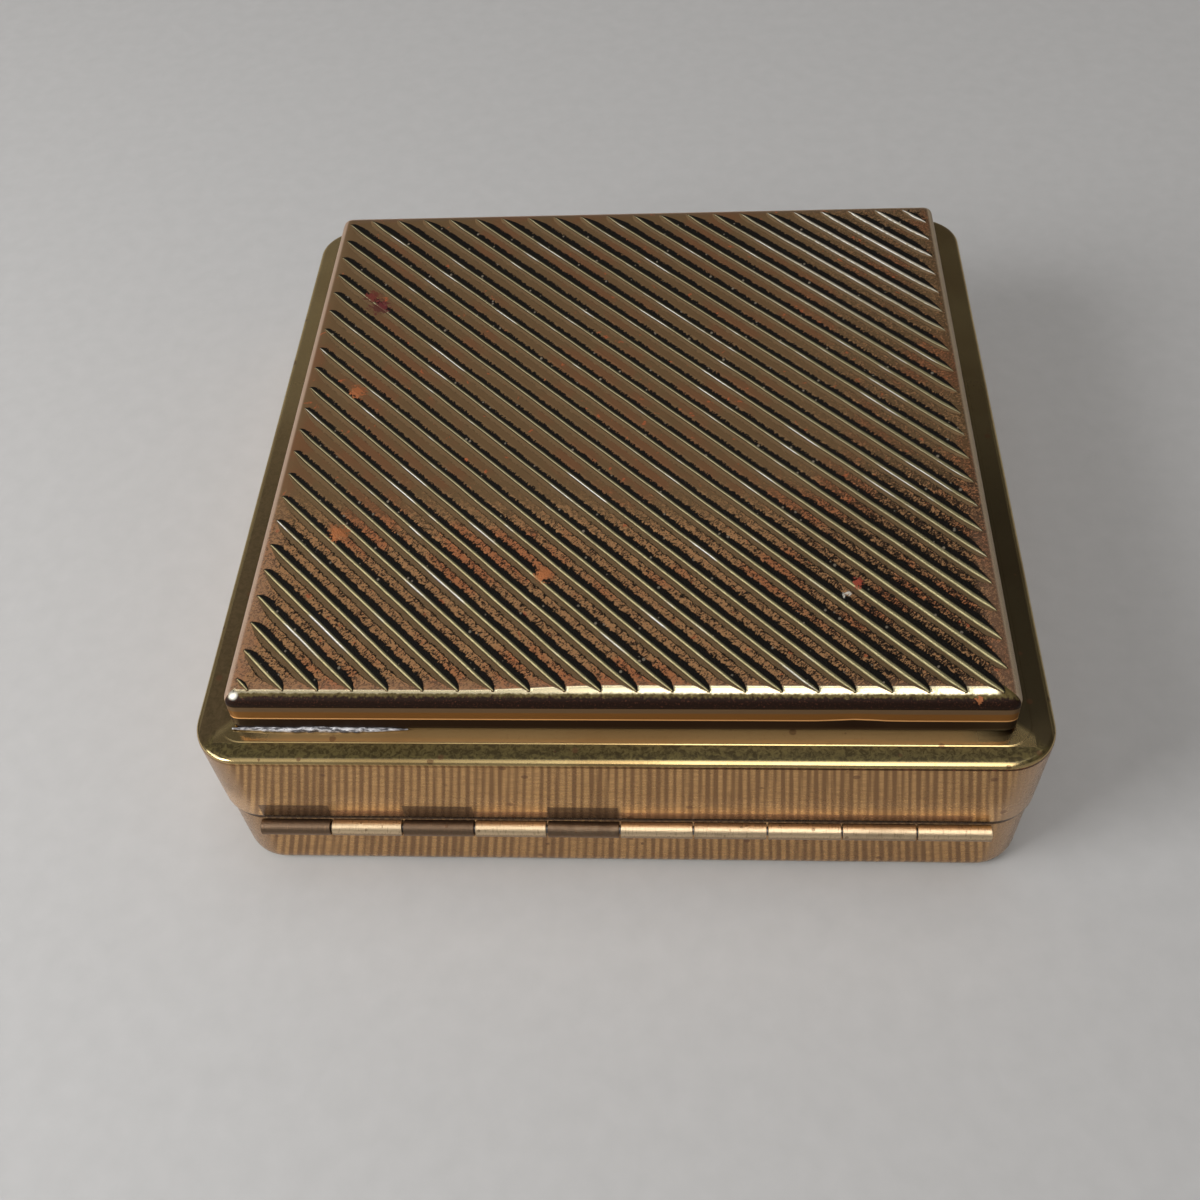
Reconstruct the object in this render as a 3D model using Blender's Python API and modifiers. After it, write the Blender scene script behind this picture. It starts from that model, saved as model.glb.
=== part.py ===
"""Mini jewelry box: a square hinged brass case with a raised lid plate of diagonal grooves.

Metres, +Z up. The origin is the middle of the base's flat underside. The hinge runs along +Y and
the push button is in the front wall at -Y. The lid is modelled closed.
"""

import math

import bmesh
import bpy
from mathutils import Matrix, Vector

# Case
CASE_WIDTH = 0.0760           # lid, side to side and front to back
CASE_CORNER = 0.0046          # plan radius of the lid's four corners
SHEET = 0.0008                # thickness of the pressed brass
SEAT_GAP = 0.0003             # air between pieces that touch on the real object
SEAM_GAP = 0.0003             # air between the base's rim and the lid's rim

# Base
BASE_HEIGHT = 0.0091
BASE_INSET = 0.00026          # the base's wall stands this far inside the lid's wall
BASE_BOTTOM_ROUND = 0.0015
COLLAR_SHEET = 0.0006
COLLAR_RISE = 0.0024          # how far the collar stands above the base's rim

# Lid
LID_HEIGHT = 0.00965          # rim to ledge
LID_SHOULDER_ROUND = 0.0010

# Raised plate on the lid
PLATE_WIDTH = 0.0691
PLATE_HEIGHT = 0.0042
PLATE_SHEET = 0.0010
PLATE_CORNER = 0.0012
PLATE_EDGE_ROUND = 0.00115
GROOVE_STEP = 0.003055        # from groove to groove, measured along the plate's edge
GROOVE_MARGIN = 0.00125       # from the plate's side to the groove tips
GROOVE_WIDTH = 0.00145
GROOVE_DEPTH = 0.0007
GROOVE_TAPER = 0.0022         # length of each pointed end
SHORT_TAPER_SHARE = 0.4       # most of a short groove's length that one pointed end may take

# Hinge
KNUCKLE_COUNT = 10
HINGE_MARGIN = 0.0045         # from the lid's side to the end of the hinge
KNUCKLE_GAP = 0.00015
KNUCKLE_RADIUS = 0.00075
KNUCKLE_STANDOFF = 0.00005    # air between a tube and the lid's wall
HINGE_DROP = 0.0003           # hinge axis below the middle of the seam
PIN_RADIUS = 0.0004
PIN_CLEARANCE = 0.00006

# Catch
BUTTON_WIDTH = 0.0090
BUTTON_HEIGHT = 0.0034
BUTTON_CENTRE_HEIGHT = 0.0056
BUTTON_PROUD = 0.0014         # how far the button stands out of the wall
BUTTON_TRAVEL = 0.0008
BUTTON_CLEARANCE = 0.0001
BUTTON_EDGE_ROUND = 0.0004
BOLT_WIDTH = 0.0150
BOLT_SHEET = 0.0008
NOSE_WIDTH = 0.0050
NOSE_THICKNESS = 0.0007
NOSE_LIFT = 0.0002            # air between the keeper and the nose above it
KEEPER_WIDTH = 0.0080
KEEPER_THICKNESS = 0.0007
KEEPER_REACH = 0.0004
KEEPER_LIFT = 0.0002          # keeper's underside above the lid's rim
KEEPER_STANDOFF = 0.00005
LEAF_LENGTH = 0.0230
LEAF_HEIGHT = 0.0030
LEAF_SHEET = 0.0003
LEAF_BOW = 0.0009
COVER_WIDTH = 0.0280
COVER_SHEET = 0.0005

# Linings
PAD_THICKNESS = 0.0018
PAD_ROUND = 0.0006
LINING_THICKNESS = 0.0009
LINING_HEIGHT = 0.0085

# Mirror
CARD_THICKNESS = 0.0010
GLASS_THICKNESS = 0.0012
FRAME_SHEET = 0.0006
FRAME_LIP = 0.0073            # how far the frame's lip reaches in over the glass

# Mesh fineness
CORNER_STEPS = 6
EDGE_STEPS = 3
TUBE_STEPS = 18
LEAF_STEPS = 10
SMOOTH_ANGLE = 35             # degrees; edges sharper than this keep their crease
LEVEL_TOLERANCE = 1e-7        # how far from a level a point may be and still be on it
MERGE_DISTANCE = 1e-5
FACING = 0.999                # cosine above which a face counts as looking along an axis

# Levels, from the table up
base_floor_top = SHEET
inner_floor = base_floor_top + SEAT_GAP
lid_rim = BASE_HEIGHT + SEAM_GAP
lid_ledge = lid_rim + LID_HEIGHT
plate_foot = lid_ledge + SEAT_GAP
plate_top = plate_foot + PLATE_HEIGHT
collar_top = BASE_HEIGHT + COLLAR_RISE
keeper_bottom = lid_rim + KEEPER_LIFT
nose_bottom = keeper_bottom + KEEPER_THICKNESS + NOSE_LIFT
nose_top = nose_bottom + NOSE_THICKNESS
pad_top = inner_floor + PAD_THICKNESS
cover_bottom = pad_top + SEAT_GAP
bolt_bottom = cover_bottom + COVER_SHEET + SEAT_GAP
cover_top = max(nose_top, collar_top) + SEAT_GAP + COVER_SHEET
card_top = lid_ledge - SHEET - SEAT_GAP
glass_top = card_top - CARD_THICKNESS - SEAT_GAP
frame_bottom = glass_top - GLASS_THICKNESS - SEAT_GAP - FRAME_SHEET

# Distances out from the middle, the same to all four sides
lid_half = CASE_WIDTH / 2
lid_inside = lid_half - SHEET
base_half = lid_half - BASE_INSET
base_corner = CASE_CORNER - BASE_INSET
collar_half = base_half - SHEET - SEAT_GAP
collar_corner = base_corner - SHEET - SEAT_GAP
collar_inside = collar_half - COLLAR_SHEET
lining_half = collar_inside - SEAT_GAP
lining_corner = collar_corner - COLLAR_SHEET - SEAT_GAP
pad_half = lining_half - LINING_THICKNESS - SEAT_GAP
pad_corner = lining_corner - LINING_THICKNESS - SEAT_GAP
frame_half = lid_inside - SEAT_GAP
frame_corner = CASE_CORNER - SHEET - SEAT_GAP
glass_half = frame_half - FRAME_SHEET - SEAT_GAP
glass_corner = frame_corner - FRAME_SHEET - SEAT_GAP
plate_half = PLATE_WIDTH / 2
groove_half = plate_half - GROOVE_MARGIN

# Along the hinge: one tube and its share of the gap to the next
knuckle_length = (CASE_WIDTH - 2 * HINGE_MARGIN) / KNUCKLE_COUNT

# Places in the front-to-back direction
hinge_y = lid_half + KNUCKLE_STANDOFF + KNUCKLE_RADIUS
hinge_z = BASE_HEIGHT + SEAM_GAP / 2 - HINGE_DROP
bolt_front = -collar_inside + SEAT_GAP
bolt_back = bolt_front + BOLT_SHEET
leaf_middle = bolt_back + SEAT_GAP
leaf_ends = leaf_middle + LEAF_BOW + LEAF_SHEET
cover_back = max(leaf_ends, bolt_back + BUTTON_TRAVEL) + SEAT_GAP + COVER_SHEET
keeper_front = -lid_inside + KEEPER_STANDOFF

CUTTER_OVERSHOOT = 0.002      # how far a cutter runs past what it cuts


def clear_scene():
    for obj in list(bpy.data.objects):
        bpy.data.objects.remove(obj, do_unlink=True)


def new_collection(name):
    collection = bpy.data.collections.new(name)
    bpy.context.scene.collection.children.link(collection)
    return collection


def new_material(name, colour, roughness, metallic):
    material = bpy.data.materials.new(name)
    material.use_nodes = True
    shader = material.node_tree.nodes["Principled BSDF"]
    shader.inputs["Base Color"].default_value = (*colour, 1.0)
    shader.inputs["Roughness"].default_value = roughness
    shader.inputs["Metallic"].default_value = metallic
    return material


def add_object(name, bm, collection, location=(0.0, 0.0, 0.0), material=None):
    mesh = bpy.data.meshes.new(name)
    bmesh.ops.recalc_face_normals(bm, faces=bm.faces)
    bm.to_mesh(mesh)
    bm.free()
    obj = bpy.data.objects.new(name, mesh)
    obj.location = location
    if material is not None:
        mesh.materials.append(material)
    collection.objects.link(obj)
    return obj


def shade_round(obj):
    obj.data.shade_smooth()
    obj.data.set_sharp_from_angle(angle=math.radians(SMOOTH_ANGLE))


def edges_at_height(bm, height):
    """Edges that lie flat at one height."""
    return [e for e in bm.edges if all(abs(v.co.z - height) < LEVEL_TOLERANCE for v in e.verts)]


def bevel_edges(bm, edges, radius, steps):
    bmesh.ops.bevel(bm, geom=edges, offset=radius, offset_type="OFFSET", segments=steps,
                    profile=0.5, affect="EDGES", clamp_overlap=False)


def block(size_x, size_y, size_z, corner=0.0, top_round=0.0, bottom_round=0.0):
    """A box standing on z = 0, with round plan corners and, where asked, round top or bottom edges."""
    bm = bmesh.new()
    bmesh.ops.create_cube(bm, size=1.0)
    bmesh.ops.scale(bm, vec=(size_x, size_y, size_z), verts=bm.verts)
    bmesh.ops.translate(bm, vec=(0.0, 0.0, size_z / 2), verts=bm.verts)
    if corner > 0.0:
        upright = [e for e in bm.edges if abs(e.verts[0].co.z - e.verts[1].co.z) > size_z / 2]
        bevel_edges(bm, upright, corner, CORNER_STEPS)
    if top_round > 0.0:
        bevel_edges(bm, edges_at_height(bm, size_z), top_round, EDGE_STEPS)
    if bottom_round > 0.0:
        bevel_edges(bm, edges_at_height(bm, 0.0), bottom_round, EDGE_STEPS)
    return bm


def remove_flat_face(bm, axis, sign):
    """Open a block by taking off the face that looks along one axis."""
    direction = Vector((0.0, 0.0, 0.0))
    direction[axis] = sign
    bm.normal_update()
    faces = [f for f in bm.faces if f.normal.dot(direction) > FACING]
    bmesh.ops.delete(bm, geom=faces, context="FACES")


def thicken(obj, thickness):
    """Give an open sheet its thickness on the inner side."""
    modifier = obj.modifiers.new("sheet", "SOLIDIFY")
    modifier.thickness = thickness
    modifier.offset = -1.0
    modifier.use_even_offset = True
    modifier.use_rim = True


def add_cutter(name, size, centre, cutters):
    bm = bmesh.new()
    bmesh.ops.create_cube(bm, size=1.0)
    bmesh.ops.scale(bm, vec=size, verts=bm.verts)
    return hide_cutter(add_object(name, bm, cutters, centre))


def hide_cutter(obj):
    obj.hide_render = True
    obj.display_type = "WIRE"
    return obj


def combine(obj, other, operation):
    modifier = obj.modifiers.new(other.name, "BOOLEAN")
    modifier.operation = operation
    modifier.solver = "EXACT"
    modifier.object = other


def make_base_pan(parts, cutters, brass):
    bm = block(2 * base_half, 2 * base_half, BASE_HEIGHT, base_corner, bottom_round=BASE_BOTTOM_ROUND)
    remove_flat_face(bm, 2, 1)
    pan = add_object("base_pan", bm, parts, material=brass)
    thicken(pan, SHEET)
    combine(pan, button_hole("button_hole", BUTTON_CLEARANCE, cutters), "DIFFERENCE")
    return pan


def button_hole(name, clearance, cutters):
    """A cutter through the front wall or the collar, round the button's plunger."""
    size = (BUTTON_WIDTH + 2 * clearance, base_half - collar_inside + 2 * CUTTER_OVERSHOOT,
            BUTTON_HEIGHT + 2 * clearance)
    centre = (0.0, -(base_half + collar_inside) / 2, BUTTON_CENTRE_HEIGHT)
    return add_cutter(name, size, centre, cutters)


def make_base_collar(parts, cutters, brass):
    height = collar_top - inner_floor
    bm = block(2 * collar_half, 2 * collar_half, height, collar_corner)
    remove_flat_face(bm, 2, 1)
    remove_flat_face(bm, 2, -1)
    collar = add_object("base_collar", bm, parts, (0.0, 0.0, inner_floor), brass)
    thicken(collar, COLLAR_SHEET)
    combine(collar, button_hole("plunger_hole", SEAT_GAP, cutters), "DIFFERENCE")
    notch_bottom = nose_bottom - SEAT_GAP
    notch_top = collar_top + CUTTER_OVERSHOOT
    notch_size = (NOSE_WIDTH + 2 * SEAT_GAP, COLLAR_SHEET + 2 * CUTTER_OVERSHOOT, notch_top - notch_bottom)
    notch_centre = (0.0, -collar_half + COLLAR_SHEET / 2, (notch_top + notch_bottom) / 2)
    combine(collar, add_cutter("nose_notch", notch_size, notch_centre, cutters), "DIFFERENCE")
    return collar


def make_side_lining(parts, cutters, velvet):
    bm = block(2 * lining_half, 2 * lining_half, LINING_HEIGHT, lining_corner)
    remove_flat_face(bm, 2, 1)
    remove_flat_face(bm, 2, -1)
    lining = add_object("side_lining", bm, parts, (0.0, 0.0, inner_floor), velvet)
    thicken(lining, LINING_THICKNESS)
    size = (COVER_WIDTH + 2 * SEAT_GAP, LINING_THICKNESS + 2 * CUTTER_OVERSHOOT, LINING_HEIGHT)
    centre = (0.0, -lining_half + LINING_THICKNESS / 2, cover_bottom - SEAT_GAP + LINING_HEIGHT / 2)
    combine(lining, add_cutter("lining_notch", size, centre, cutters), "DIFFERENCE")
    return lining


def make_floor_pad(parts, velvet):
    bm = block(2 * pad_half, 2 * pad_half, PAD_THICKNESS, pad_corner, top_round=PAD_ROUND)
    return add_object("floor_pad", bm, parts, (0.0, 0.0, inner_floor), velvet)


def make_catch_cover(parts, brass):
    """The sheet box over the catch, open on the side that meets the collar."""
    depth = cover_back - bolt_front
    bm = block(COVER_WIDTH, depth, cover_top - cover_bottom)
    remove_flat_face(bm, 1, -1)
    cover = add_object("catch_cover", bm, parts, (0.0, (cover_back + bolt_front) / 2, cover_bottom), brass)
    thicken(cover, COVER_SHEET)
    return cover


def make_catch_spring(parts, steel):
    """A leaf bowed towards the bolt, whose ends lean on the catch cover."""
    bm = bmesh.new()
    bmesh.ops.create_grid(bm, x_segments=LEAF_STEPS, y_segments=1, size=0.5)
    for vert in bm.verts:
        along = vert.co.x
        vert.co = Vector((along * LEAF_LENGTH, LEAF_BOW * (2 * along) ** 2, vert.co.y * LEAF_HEIGHT))
    leaf = add_object("catch_spring", bm, parts, (0.0, leaf_middle, BUTTON_CENTRE_HEIGHT), steel)
    modifier = leaf.modifiers.new("sheet", "SOLIDIFY")
    modifier.thickness = LEAF_SHEET
    modifier.offset = 1.0 if leaf.data.polygons[0].normal.y > 0.0 else -1.0
    return leaf


def make_push_button(parts, brass):
    front = -base_half - BUTTON_PROUD
    back = bolt_front - SEAT_GAP
    bm = block(BUTTON_WIDTH, BUTTON_HEIGHT, back - front, top_round=BUTTON_EDGE_ROUND)
    bmesh.ops.rotate(bm, verts=bm.verts, matrix=Matrix.Rotation(math.radians(90), 3, "X"))
    return add_object("push_button", bm, parts, (0.0, back, BUTTON_CENTRE_HEIGHT), brass)


def make_catch_bolt(parts, cutters, brass):
    """The plate behind the collar with the nose that reaches out over the keeper."""
    bm = block(BOLT_WIDTH, BOLT_SHEET, nose_top - bolt_bottom)
    bolt = add_object("catch_bolt", bm, parts, (0.0, (bolt_front + bolt_back) / 2, bolt_bottom), brass)
    nose_front = -collar_half
    nose_size = (NOSE_WIDTH, bolt_back - BOLT_SHEET / 2 - nose_front, NOSE_THICKNESS)
    nose_centre = (0.0, (bolt_back - BOLT_SHEET / 2 + nose_front) / 2, (nose_top + nose_bottom) / 2)
    combine(bolt, add_cutter("bolt_nose", nose_size, nose_centre, cutters), "UNION")
    return bolt


def make_keeper(parts, brass):
    bm = block(KEEPER_WIDTH, KEEPER_REACH, KEEPER_THICKNESS)
    return add_object("keeper", bm, parts, (0.0, keeper_front + KEEPER_REACH / 2, keeper_bottom), brass)


def make_lid_shell(parts, brass):
    bm = block(2 * lid_half, 2 * lid_half, LID_HEIGHT, CASE_CORNER, top_round=LID_SHOULDER_ROUND)
    remove_flat_face(bm, 2, -1)
    lid = add_object("lid_shell", bm, parts, (0.0, 0.0, lid_rim), brass)
    thicken(lid, SHEET)
    return lid


def groove_lines():
    """The diagonal lines x + y = offset that fit the plate, as offset and tip-to-tip length."""
    lines = []
    per_side = int(2 * groove_half / GROOVE_STEP + 0.5)
    for index in range(-per_side, per_side):
        offset = (index + 0.5) * GROOVE_STEP
        length = (2 * groove_half - abs(offset)) * math.sqrt(2)
        lines.append((offset, length))
    return lines


def add_groove(bm, offset, length):
    """One boat-shaped V cutter, pointed at both ends, level with the plate's top."""
    fullness = math.sqrt(min(1.0, length / (2 * GROOVE_TAPER)))
    taper = min(GROOVE_TAPER, length * SHORT_TAPER_SHARE)
    groove = bmesh.new()
    bmesh.ops.create_cone(groove, cap_ends=True, segments=4, radius1=1.0, radius2=1.0,
                          depth=length - 2 * taper)
    caps = [f for f in groove.faces if abs(f.normal.z) > FACING]
    tips = bmesh.ops.poke(groove, faces=caps)["verts"]
    for tip in tips:
        tip.co.z += taper if tip.co.z > 0.0 else -taper
    bmesh.ops.rotate(groove, verts=groove.verts, matrix=Matrix.Rotation(math.radians(90), 3, "Y"))
    size = (1.0, GROOVE_WIDTH / 2 * fullness, GROOVE_DEPTH * fullness)
    bmesh.ops.scale(groove, vec=size, verts=groove.verts)
    bmesh.ops.rotate(groove, verts=groove.verts, matrix=Matrix.Rotation(math.radians(-45), 3, "Z"))
    bmesh.ops.translate(groove, vec=(offset / 2, offset / 2, plate_top), verts=groove.verts)
    mesh = bpy.data.meshes.new("groove")
    groove.to_mesh(mesh)
    groove.free()
    bm.from_mesh(mesh)
    bpy.data.meshes.remove(mesh)


def make_grooved_plate(parts, cutters, brass):
    bm = block(2 * plate_half, 2 * plate_half, PLATE_HEIGHT, PLATE_CORNER, top_round=PLATE_EDGE_ROUND)
    remove_flat_face(bm, 2, -1)
    plate = add_object("grooved_plate", bm, parts, (0.0, 0.0, plate_foot), brass)
    thicken(plate, PLATE_SHEET)
    grooves = bmesh.new()
    for offset, length in groove_lines():
        add_groove(grooves, offset, length)
    combine(plate, hide_cutter(add_object("groove_cutters", grooves, cutters)), "DIFFERENCE")
    return plate


def make_mirror(parts, cutters, card, glass, brass):
    backing_mesh = block(2 * glass_half, 2 * glass_half, CARD_THICKNESS, glass_corner)
    backing = add_object("mirror_backing", backing_mesh, parts, (0.0, 0.0, card_top - CARD_THICKNESS), card)
    glass_mesh = block(2 * glass_half, 2 * glass_half, GLASS_THICKNESS, glass_corner)
    pane = add_object("mirror_glass", glass_mesh, parts, (0.0, 0.0, glass_top - GLASS_THICKNESS), glass)
    frame_mesh = block(2 * frame_half, 2 * frame_half, card_top - frame_bottom, frame_corner)
    remove_flat_face(frame_mesh, 2, 1)
    frame = add_object("mirror_frame", frame_mesh, parts, (0.0, 0.0, frame_bottom), brass)
    thicken(frame, FRAME_SHEET)
    window = 2 * (frame_half - FRAME_SHEET - FRAME_LIP)
    window_mesh = block(window, window, 2 * CUTTER_OVERSHOOT, glass_corner)
    window_place = (0.0, 0.0, frame_bottom - CUTTER_OVERSHOOT)
    combine(frame, hide_cutter(add_object("mirror_window", window_mesh, cutters, window_place)), "DIFFERENCE")
    return [backing, pane, frame]


def knuckle_mesh(brass):
    """One hinge tube, turned about Z and as long as its share of the hinge less the gap."""
    half = (knuckle_length - KNUCKLE_GAP) / 2
    bore = PIN_RADIUS + PIN_CLEARANCE
    profile = [(KNUCKLE_RADIUS, half), (KNUCKLE_RADIUS, -half), (bore, -half), (bore, half)]
    bm = bmesh.new()
    verts = [bm.verts.new((radius, 0.0, height)) for radius, height in profile]
    for first, second in zip(verts, verts[1:] + verts[:1]):
        bm.edges.new((first, second))
    mesh = bpy.data.meshes.new("knuckle")
    bm.to_mesh(mesh)
    bm.free()
    mesh.materials.append(brass)
    return mesh


def make_knuckles(parts, brass):
    """Ten tubes along the hinge; seen from behind, the first at the left is the lid's."""
    mesh = knuckle_mesh(brass)
    owners = {"lid": [], "base": []}
    for index in range(KNUCKLE_COUNT):
        owner = "lid" if index % 2 == 0 else "base"
        name = f"{owner}_knuckle_{index // 2 + 1}"
        tube = bpy.data.objects.new(name, mesh)
        middle = (KNUCKLE_COUNT - 1) / 2 - index
        tube.location = (middle * knuckle_length, hinge_y, hinge_z)
        tube.rotation_euler = (0.0, math.radians(90), 0.0)
        turned = tube.modifiers.new("turned", "SCREW")
        turned.steps = TUBE_STEPS
        turned.render_steps = TUBE_STEPS
        turned.use_merge_vertices = True
        turned.merge_threshold = MERGE_DISTANCE
        parts.objects.link(tube)
        owners[owner].append(tube)
    return owners


def make_hinge_pin(parts, steel):
    bm = bmesh.new()
    bmesh.ops.create_cone(bm, cap_ends=True, segments=TUBE_STEPS, radius1=PIN_RADIUS, radius2=PIN_RADIUS,
                          depth=KNUCKLE_COUNT * knuckle_length)
    pin = add_object("hinge_pin", bm, parts, (0.0, hinge_y, hinge_z), steel)
    pin.rotation_euler = (0.0, math.radians(90), 0.0)
    shade_round(pin)
    return pin


def carry(name, place, children, parts):
    """Parent pieces that move together to an empty on their joint's axis."""
    empty = bpy.data.objects.new(name, None)
    empty.location = place
    parts.objects.link(empty)
    for child in children:
        child.parent = empty
        child.matrix_parent_inverse = Matrix.Translation(place).inverted()


def main():
    clear_scene()
    parts = new_collection("mini_jewelry_box")
    cutters = new_collection("cutters")
    brass = new_material("brass", colour=(0.62, 0.43, 0.20), roughness=0.28, metallic=1.0)
    plate_brass = new_material("plate_brass", colour=(0.52, 0.33, 0.19), roughness=0.38, metallic=1.0)
    tube_brass = new_material("tube_brass", colour=(0.66, 0.48, 0.25), roughness=0.32, metallic=1.0)
    steel = new_material("spring_steel", colour=(0.55, 0.55, 0.56), roughness=0.30, metallic=1.0)
    velvet = new_material("velvet", colour=(0.22, 0.02, 0.04), roughness=0.95, metallic=0.0)
    card = new_material("card", colour=(0.45, 0.38, 0.28), roughness=0.9, metallic=0.0)
    glass = new_material("mirror_glass", colour=(0.88, 0.89, 0.90), roughness=0.03, metallic=1.0)

    pan = make_base_pan(parts, cutters, brass)
    make_base_collar(parts, cutters, brass)
    make_side_lining(parts, cutters, velvet)
    make_floor_pad(parts, velvet)
    make_catch_cover(parts, brass)
    make_catch_spring(parts, steel)
    make_hinge_pin(parts, steel)

    lid = make_lid_shell(parts, brass)
    plate = make_grooved_plate(parts, cutters, plate_brass)
    keeper = make_keeper(parts, brass)
    mirror = make_mirror(parts, cutters, card, glass, brass)
    tubes = make_knuckles(parts, tube_brass)
    carry("lid_axis", (0.0, hinge_y, hinge_z), [lid, plate, keeper, *mirror, *tubes["lid"]], parts)

    button = make_push_button(parts, brass)
    bolt = make_catch_bolt(parts, cutters, brass)
    carry("button_axis", (0.0, -base_half, BUTTON_CENTRE_HEIGHT), [button, bolt], parts)
    for obj in (pan, lid, plate):
        shade_round(obj)


main()
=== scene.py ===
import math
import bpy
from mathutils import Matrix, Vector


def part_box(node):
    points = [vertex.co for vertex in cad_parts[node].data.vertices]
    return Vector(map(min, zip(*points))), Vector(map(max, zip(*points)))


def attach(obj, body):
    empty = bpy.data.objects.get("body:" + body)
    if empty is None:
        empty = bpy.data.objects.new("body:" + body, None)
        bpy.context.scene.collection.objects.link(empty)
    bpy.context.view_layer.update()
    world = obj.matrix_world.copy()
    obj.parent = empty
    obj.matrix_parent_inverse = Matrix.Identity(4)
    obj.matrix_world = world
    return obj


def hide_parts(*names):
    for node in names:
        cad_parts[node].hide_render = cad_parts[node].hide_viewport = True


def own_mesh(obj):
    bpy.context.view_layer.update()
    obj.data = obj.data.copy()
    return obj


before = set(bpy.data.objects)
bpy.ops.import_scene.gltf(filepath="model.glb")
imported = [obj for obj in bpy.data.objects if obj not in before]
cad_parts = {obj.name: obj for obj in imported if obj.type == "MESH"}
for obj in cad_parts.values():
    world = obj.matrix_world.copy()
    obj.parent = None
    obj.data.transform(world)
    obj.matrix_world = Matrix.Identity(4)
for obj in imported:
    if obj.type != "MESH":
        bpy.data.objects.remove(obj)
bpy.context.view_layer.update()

# The looks of the mini jewelry box: a worn brass case with a grooved plate on its lid.
# Metres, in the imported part's frame: +Z up, hinge along +Y, push button at -Y.

from types import SimpleNamespace

import bmesh
import bpy
import numpy as np
from mathutils import Euler, Vector, noise

MM = 0.001

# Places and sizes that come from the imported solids
base_low, base_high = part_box("base_pan")
lid_low, lid_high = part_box("lid_shell")
plate_low, plate_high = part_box("grooved_plate")
pad_low, pad_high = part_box("floor_pad")
lining_low, lining_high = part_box("side_lining")
base_half = base_high.x
lid_half = lid_high.x
plate_half = plate_high.x

# Case
SHEET = 0.8 * MM
LID_CORNER = 4.6 * MM
SHOULDER_DROP = 0.62 * MM
SHOULDER_REACH = 0.62 * MM
LEDGE_LINE = 2.10 * MM
LEDGE_STEP = 0.02 * MM
BOTTOM_ROUND = 1.5 * MM
RIM_ROUND = 0.18 * MM
INNER_ROUND = 1.0 * MM
WALL_WAVE = 0.018 * MM
WALL_WAVE_LENGTH = 9.0 * MM
RING_SPACING = 0.7 * MM
CORNER_STEPS = 14
SIDE_STEPS = 44

# Grooved plate
GROOVE_STEP = 3.087 * MM
GROOVE_MARGIN = 1.25 * MM
GROOVE_HALF_WIDTH = 0.74 * MM
GROOVE_DEPTH = 0.25 * MM
GROOVE_TAPER = 2.6 * MM
GROOVE_SHIFT = -0.92 * MM
VALLEY_ROUND = 0.08
GROOVE_COUNT = 46
LAND_REACH = 1.35
PILLOW_REACH = 1.75 * MM
PILLOW_SLOPE = math.radians(18)
EDGE_ROUND = 0.8 * MM
SKIRT_LEAN = 0.15 * MM
PLATE_SHEET = 1.0 * MM
ROUND_START = EDGE_ROUND * (1.0 - math.sin(PILLOW_SLOPE))
PILLOW_RUN = PILLOW_REACH - ROUND_START
PILLOW_DROP = math.tan(PILLOW_SLOPE) * PILLOW_RUN / 2
EDGE_DROP = PILLOW_DROP + EDGE_ROUND * math.cos(PILLOW_SLOPE)
ACROSS = (-1.06, -1.0, -0.93, -0.7, -0.4, -0.16, -0.06, 0.0, 0.06, 0.16, 0.4, 0.7, 0.93, 1.0, 1.06)
END_STATIONS = 13
MIDDLE_STATIONS = 26
TIP_WIDTH = 0.12
CORNER_FAN = 8
DENT_X = -20.6 * MM
DENT_RISE = 1.5 * MM
DENT_DEPTH = 0.16 * MM
DENT_WIDTH = 2.0 * MM
DENT_HEIGHT = 1.0 * MM

# Spots on the plate: where each is, its radius and its colour; and where the painted highlight on its near
# left corner is
CORNER_HIGHLIGHT = (33.35 * MM, 33.70 * MM, 23.25 * MM)
PLATE_MARKS = (
    ((-0.0306, 0.03395, 0.0232), 0.34 * MM, (0.34, 0.12, 0.045)),
    ((0.0278, -0.0177, 0.0234), 1.15 * MM, (0.11, 0.022, 0.022)),
    ((0.0289, -0.0196, 0.0234), 0.90 * MM, (0.13, 0.030, 0.022)),
    ((0.0281, -0.0043, 0.0234), 0.95 * MM, (0.36, 0.12, 0.045)),
    ((0.0269, 0.0152, 0.0234), 1.00 * MM, (0.42, 0.15, 0.055)),
    ((-0.0215, 0.0215, 0.0234), 0.55 * MM, (0.30, 0.06, 0.035)),
    ((-0.0204, 0.0227, 0.0234), 0.40 * MM, (0.70, 0.66, 0.58)),
    ((0.0070, 0.0204, 0.0234), 0.80 * MM, (0.42, 0.15, 0.055)),
)

# Case brass: painted reflection streaks (bars) on the walls, and painted reflections of the hinge's tubes
# just above them
WAVE_LENGTH = 0.628
BAR_PITCH = 0.74 * MM
FAN_SLOPE = 6.8
FAN_LEVEL = 14.0 * MM
FAN_CENTRE = -5.0 * MM
HINGE_WALL = (35 * MM, 36 * MM)
STRIP_LOW = 8.9 * MM
STRIP_TOP = 10.6 * MM
STRIP_REACH = 31.6 * MM
PATCH_TOP = 11.5 * MM
TUBE_REFLECTION_MATTE_TOP = 11.0 * MM
DARK_REFLECTED_TUBES = (1, 2, 3)

# Hinge
TUBE_RADIUS = 0.75 * MM
TUBE_BORE = 0.46 * MM
TUBE_STEPS = 40
TUBE_SHADE_EDGE = 38.27 * MM
TUBE_TARNISH = {"lid": (0.95, 0.85, 0.8, 0.3, 0.35), "base": (0.1, 0.05, 0.0, 0.0, 0.05)}

# Catch spring
LEAF_SHEET = 0.3 * MM
LEAF_EDGE = 0.06 * MM
LEAF_STEPS = 32

# Camera: where the photograph was taken from, and its field of view
CAMERA_PLACE = Vector((-6.3, 96.5, 117.4)) * MM
CAMERA_FORWARD = Vector((0.0669, -0.6128, -0.7874))
CAMERA_ROLL = math.radians(-5.03)
CAMERA_LENS = 39.62


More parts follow.
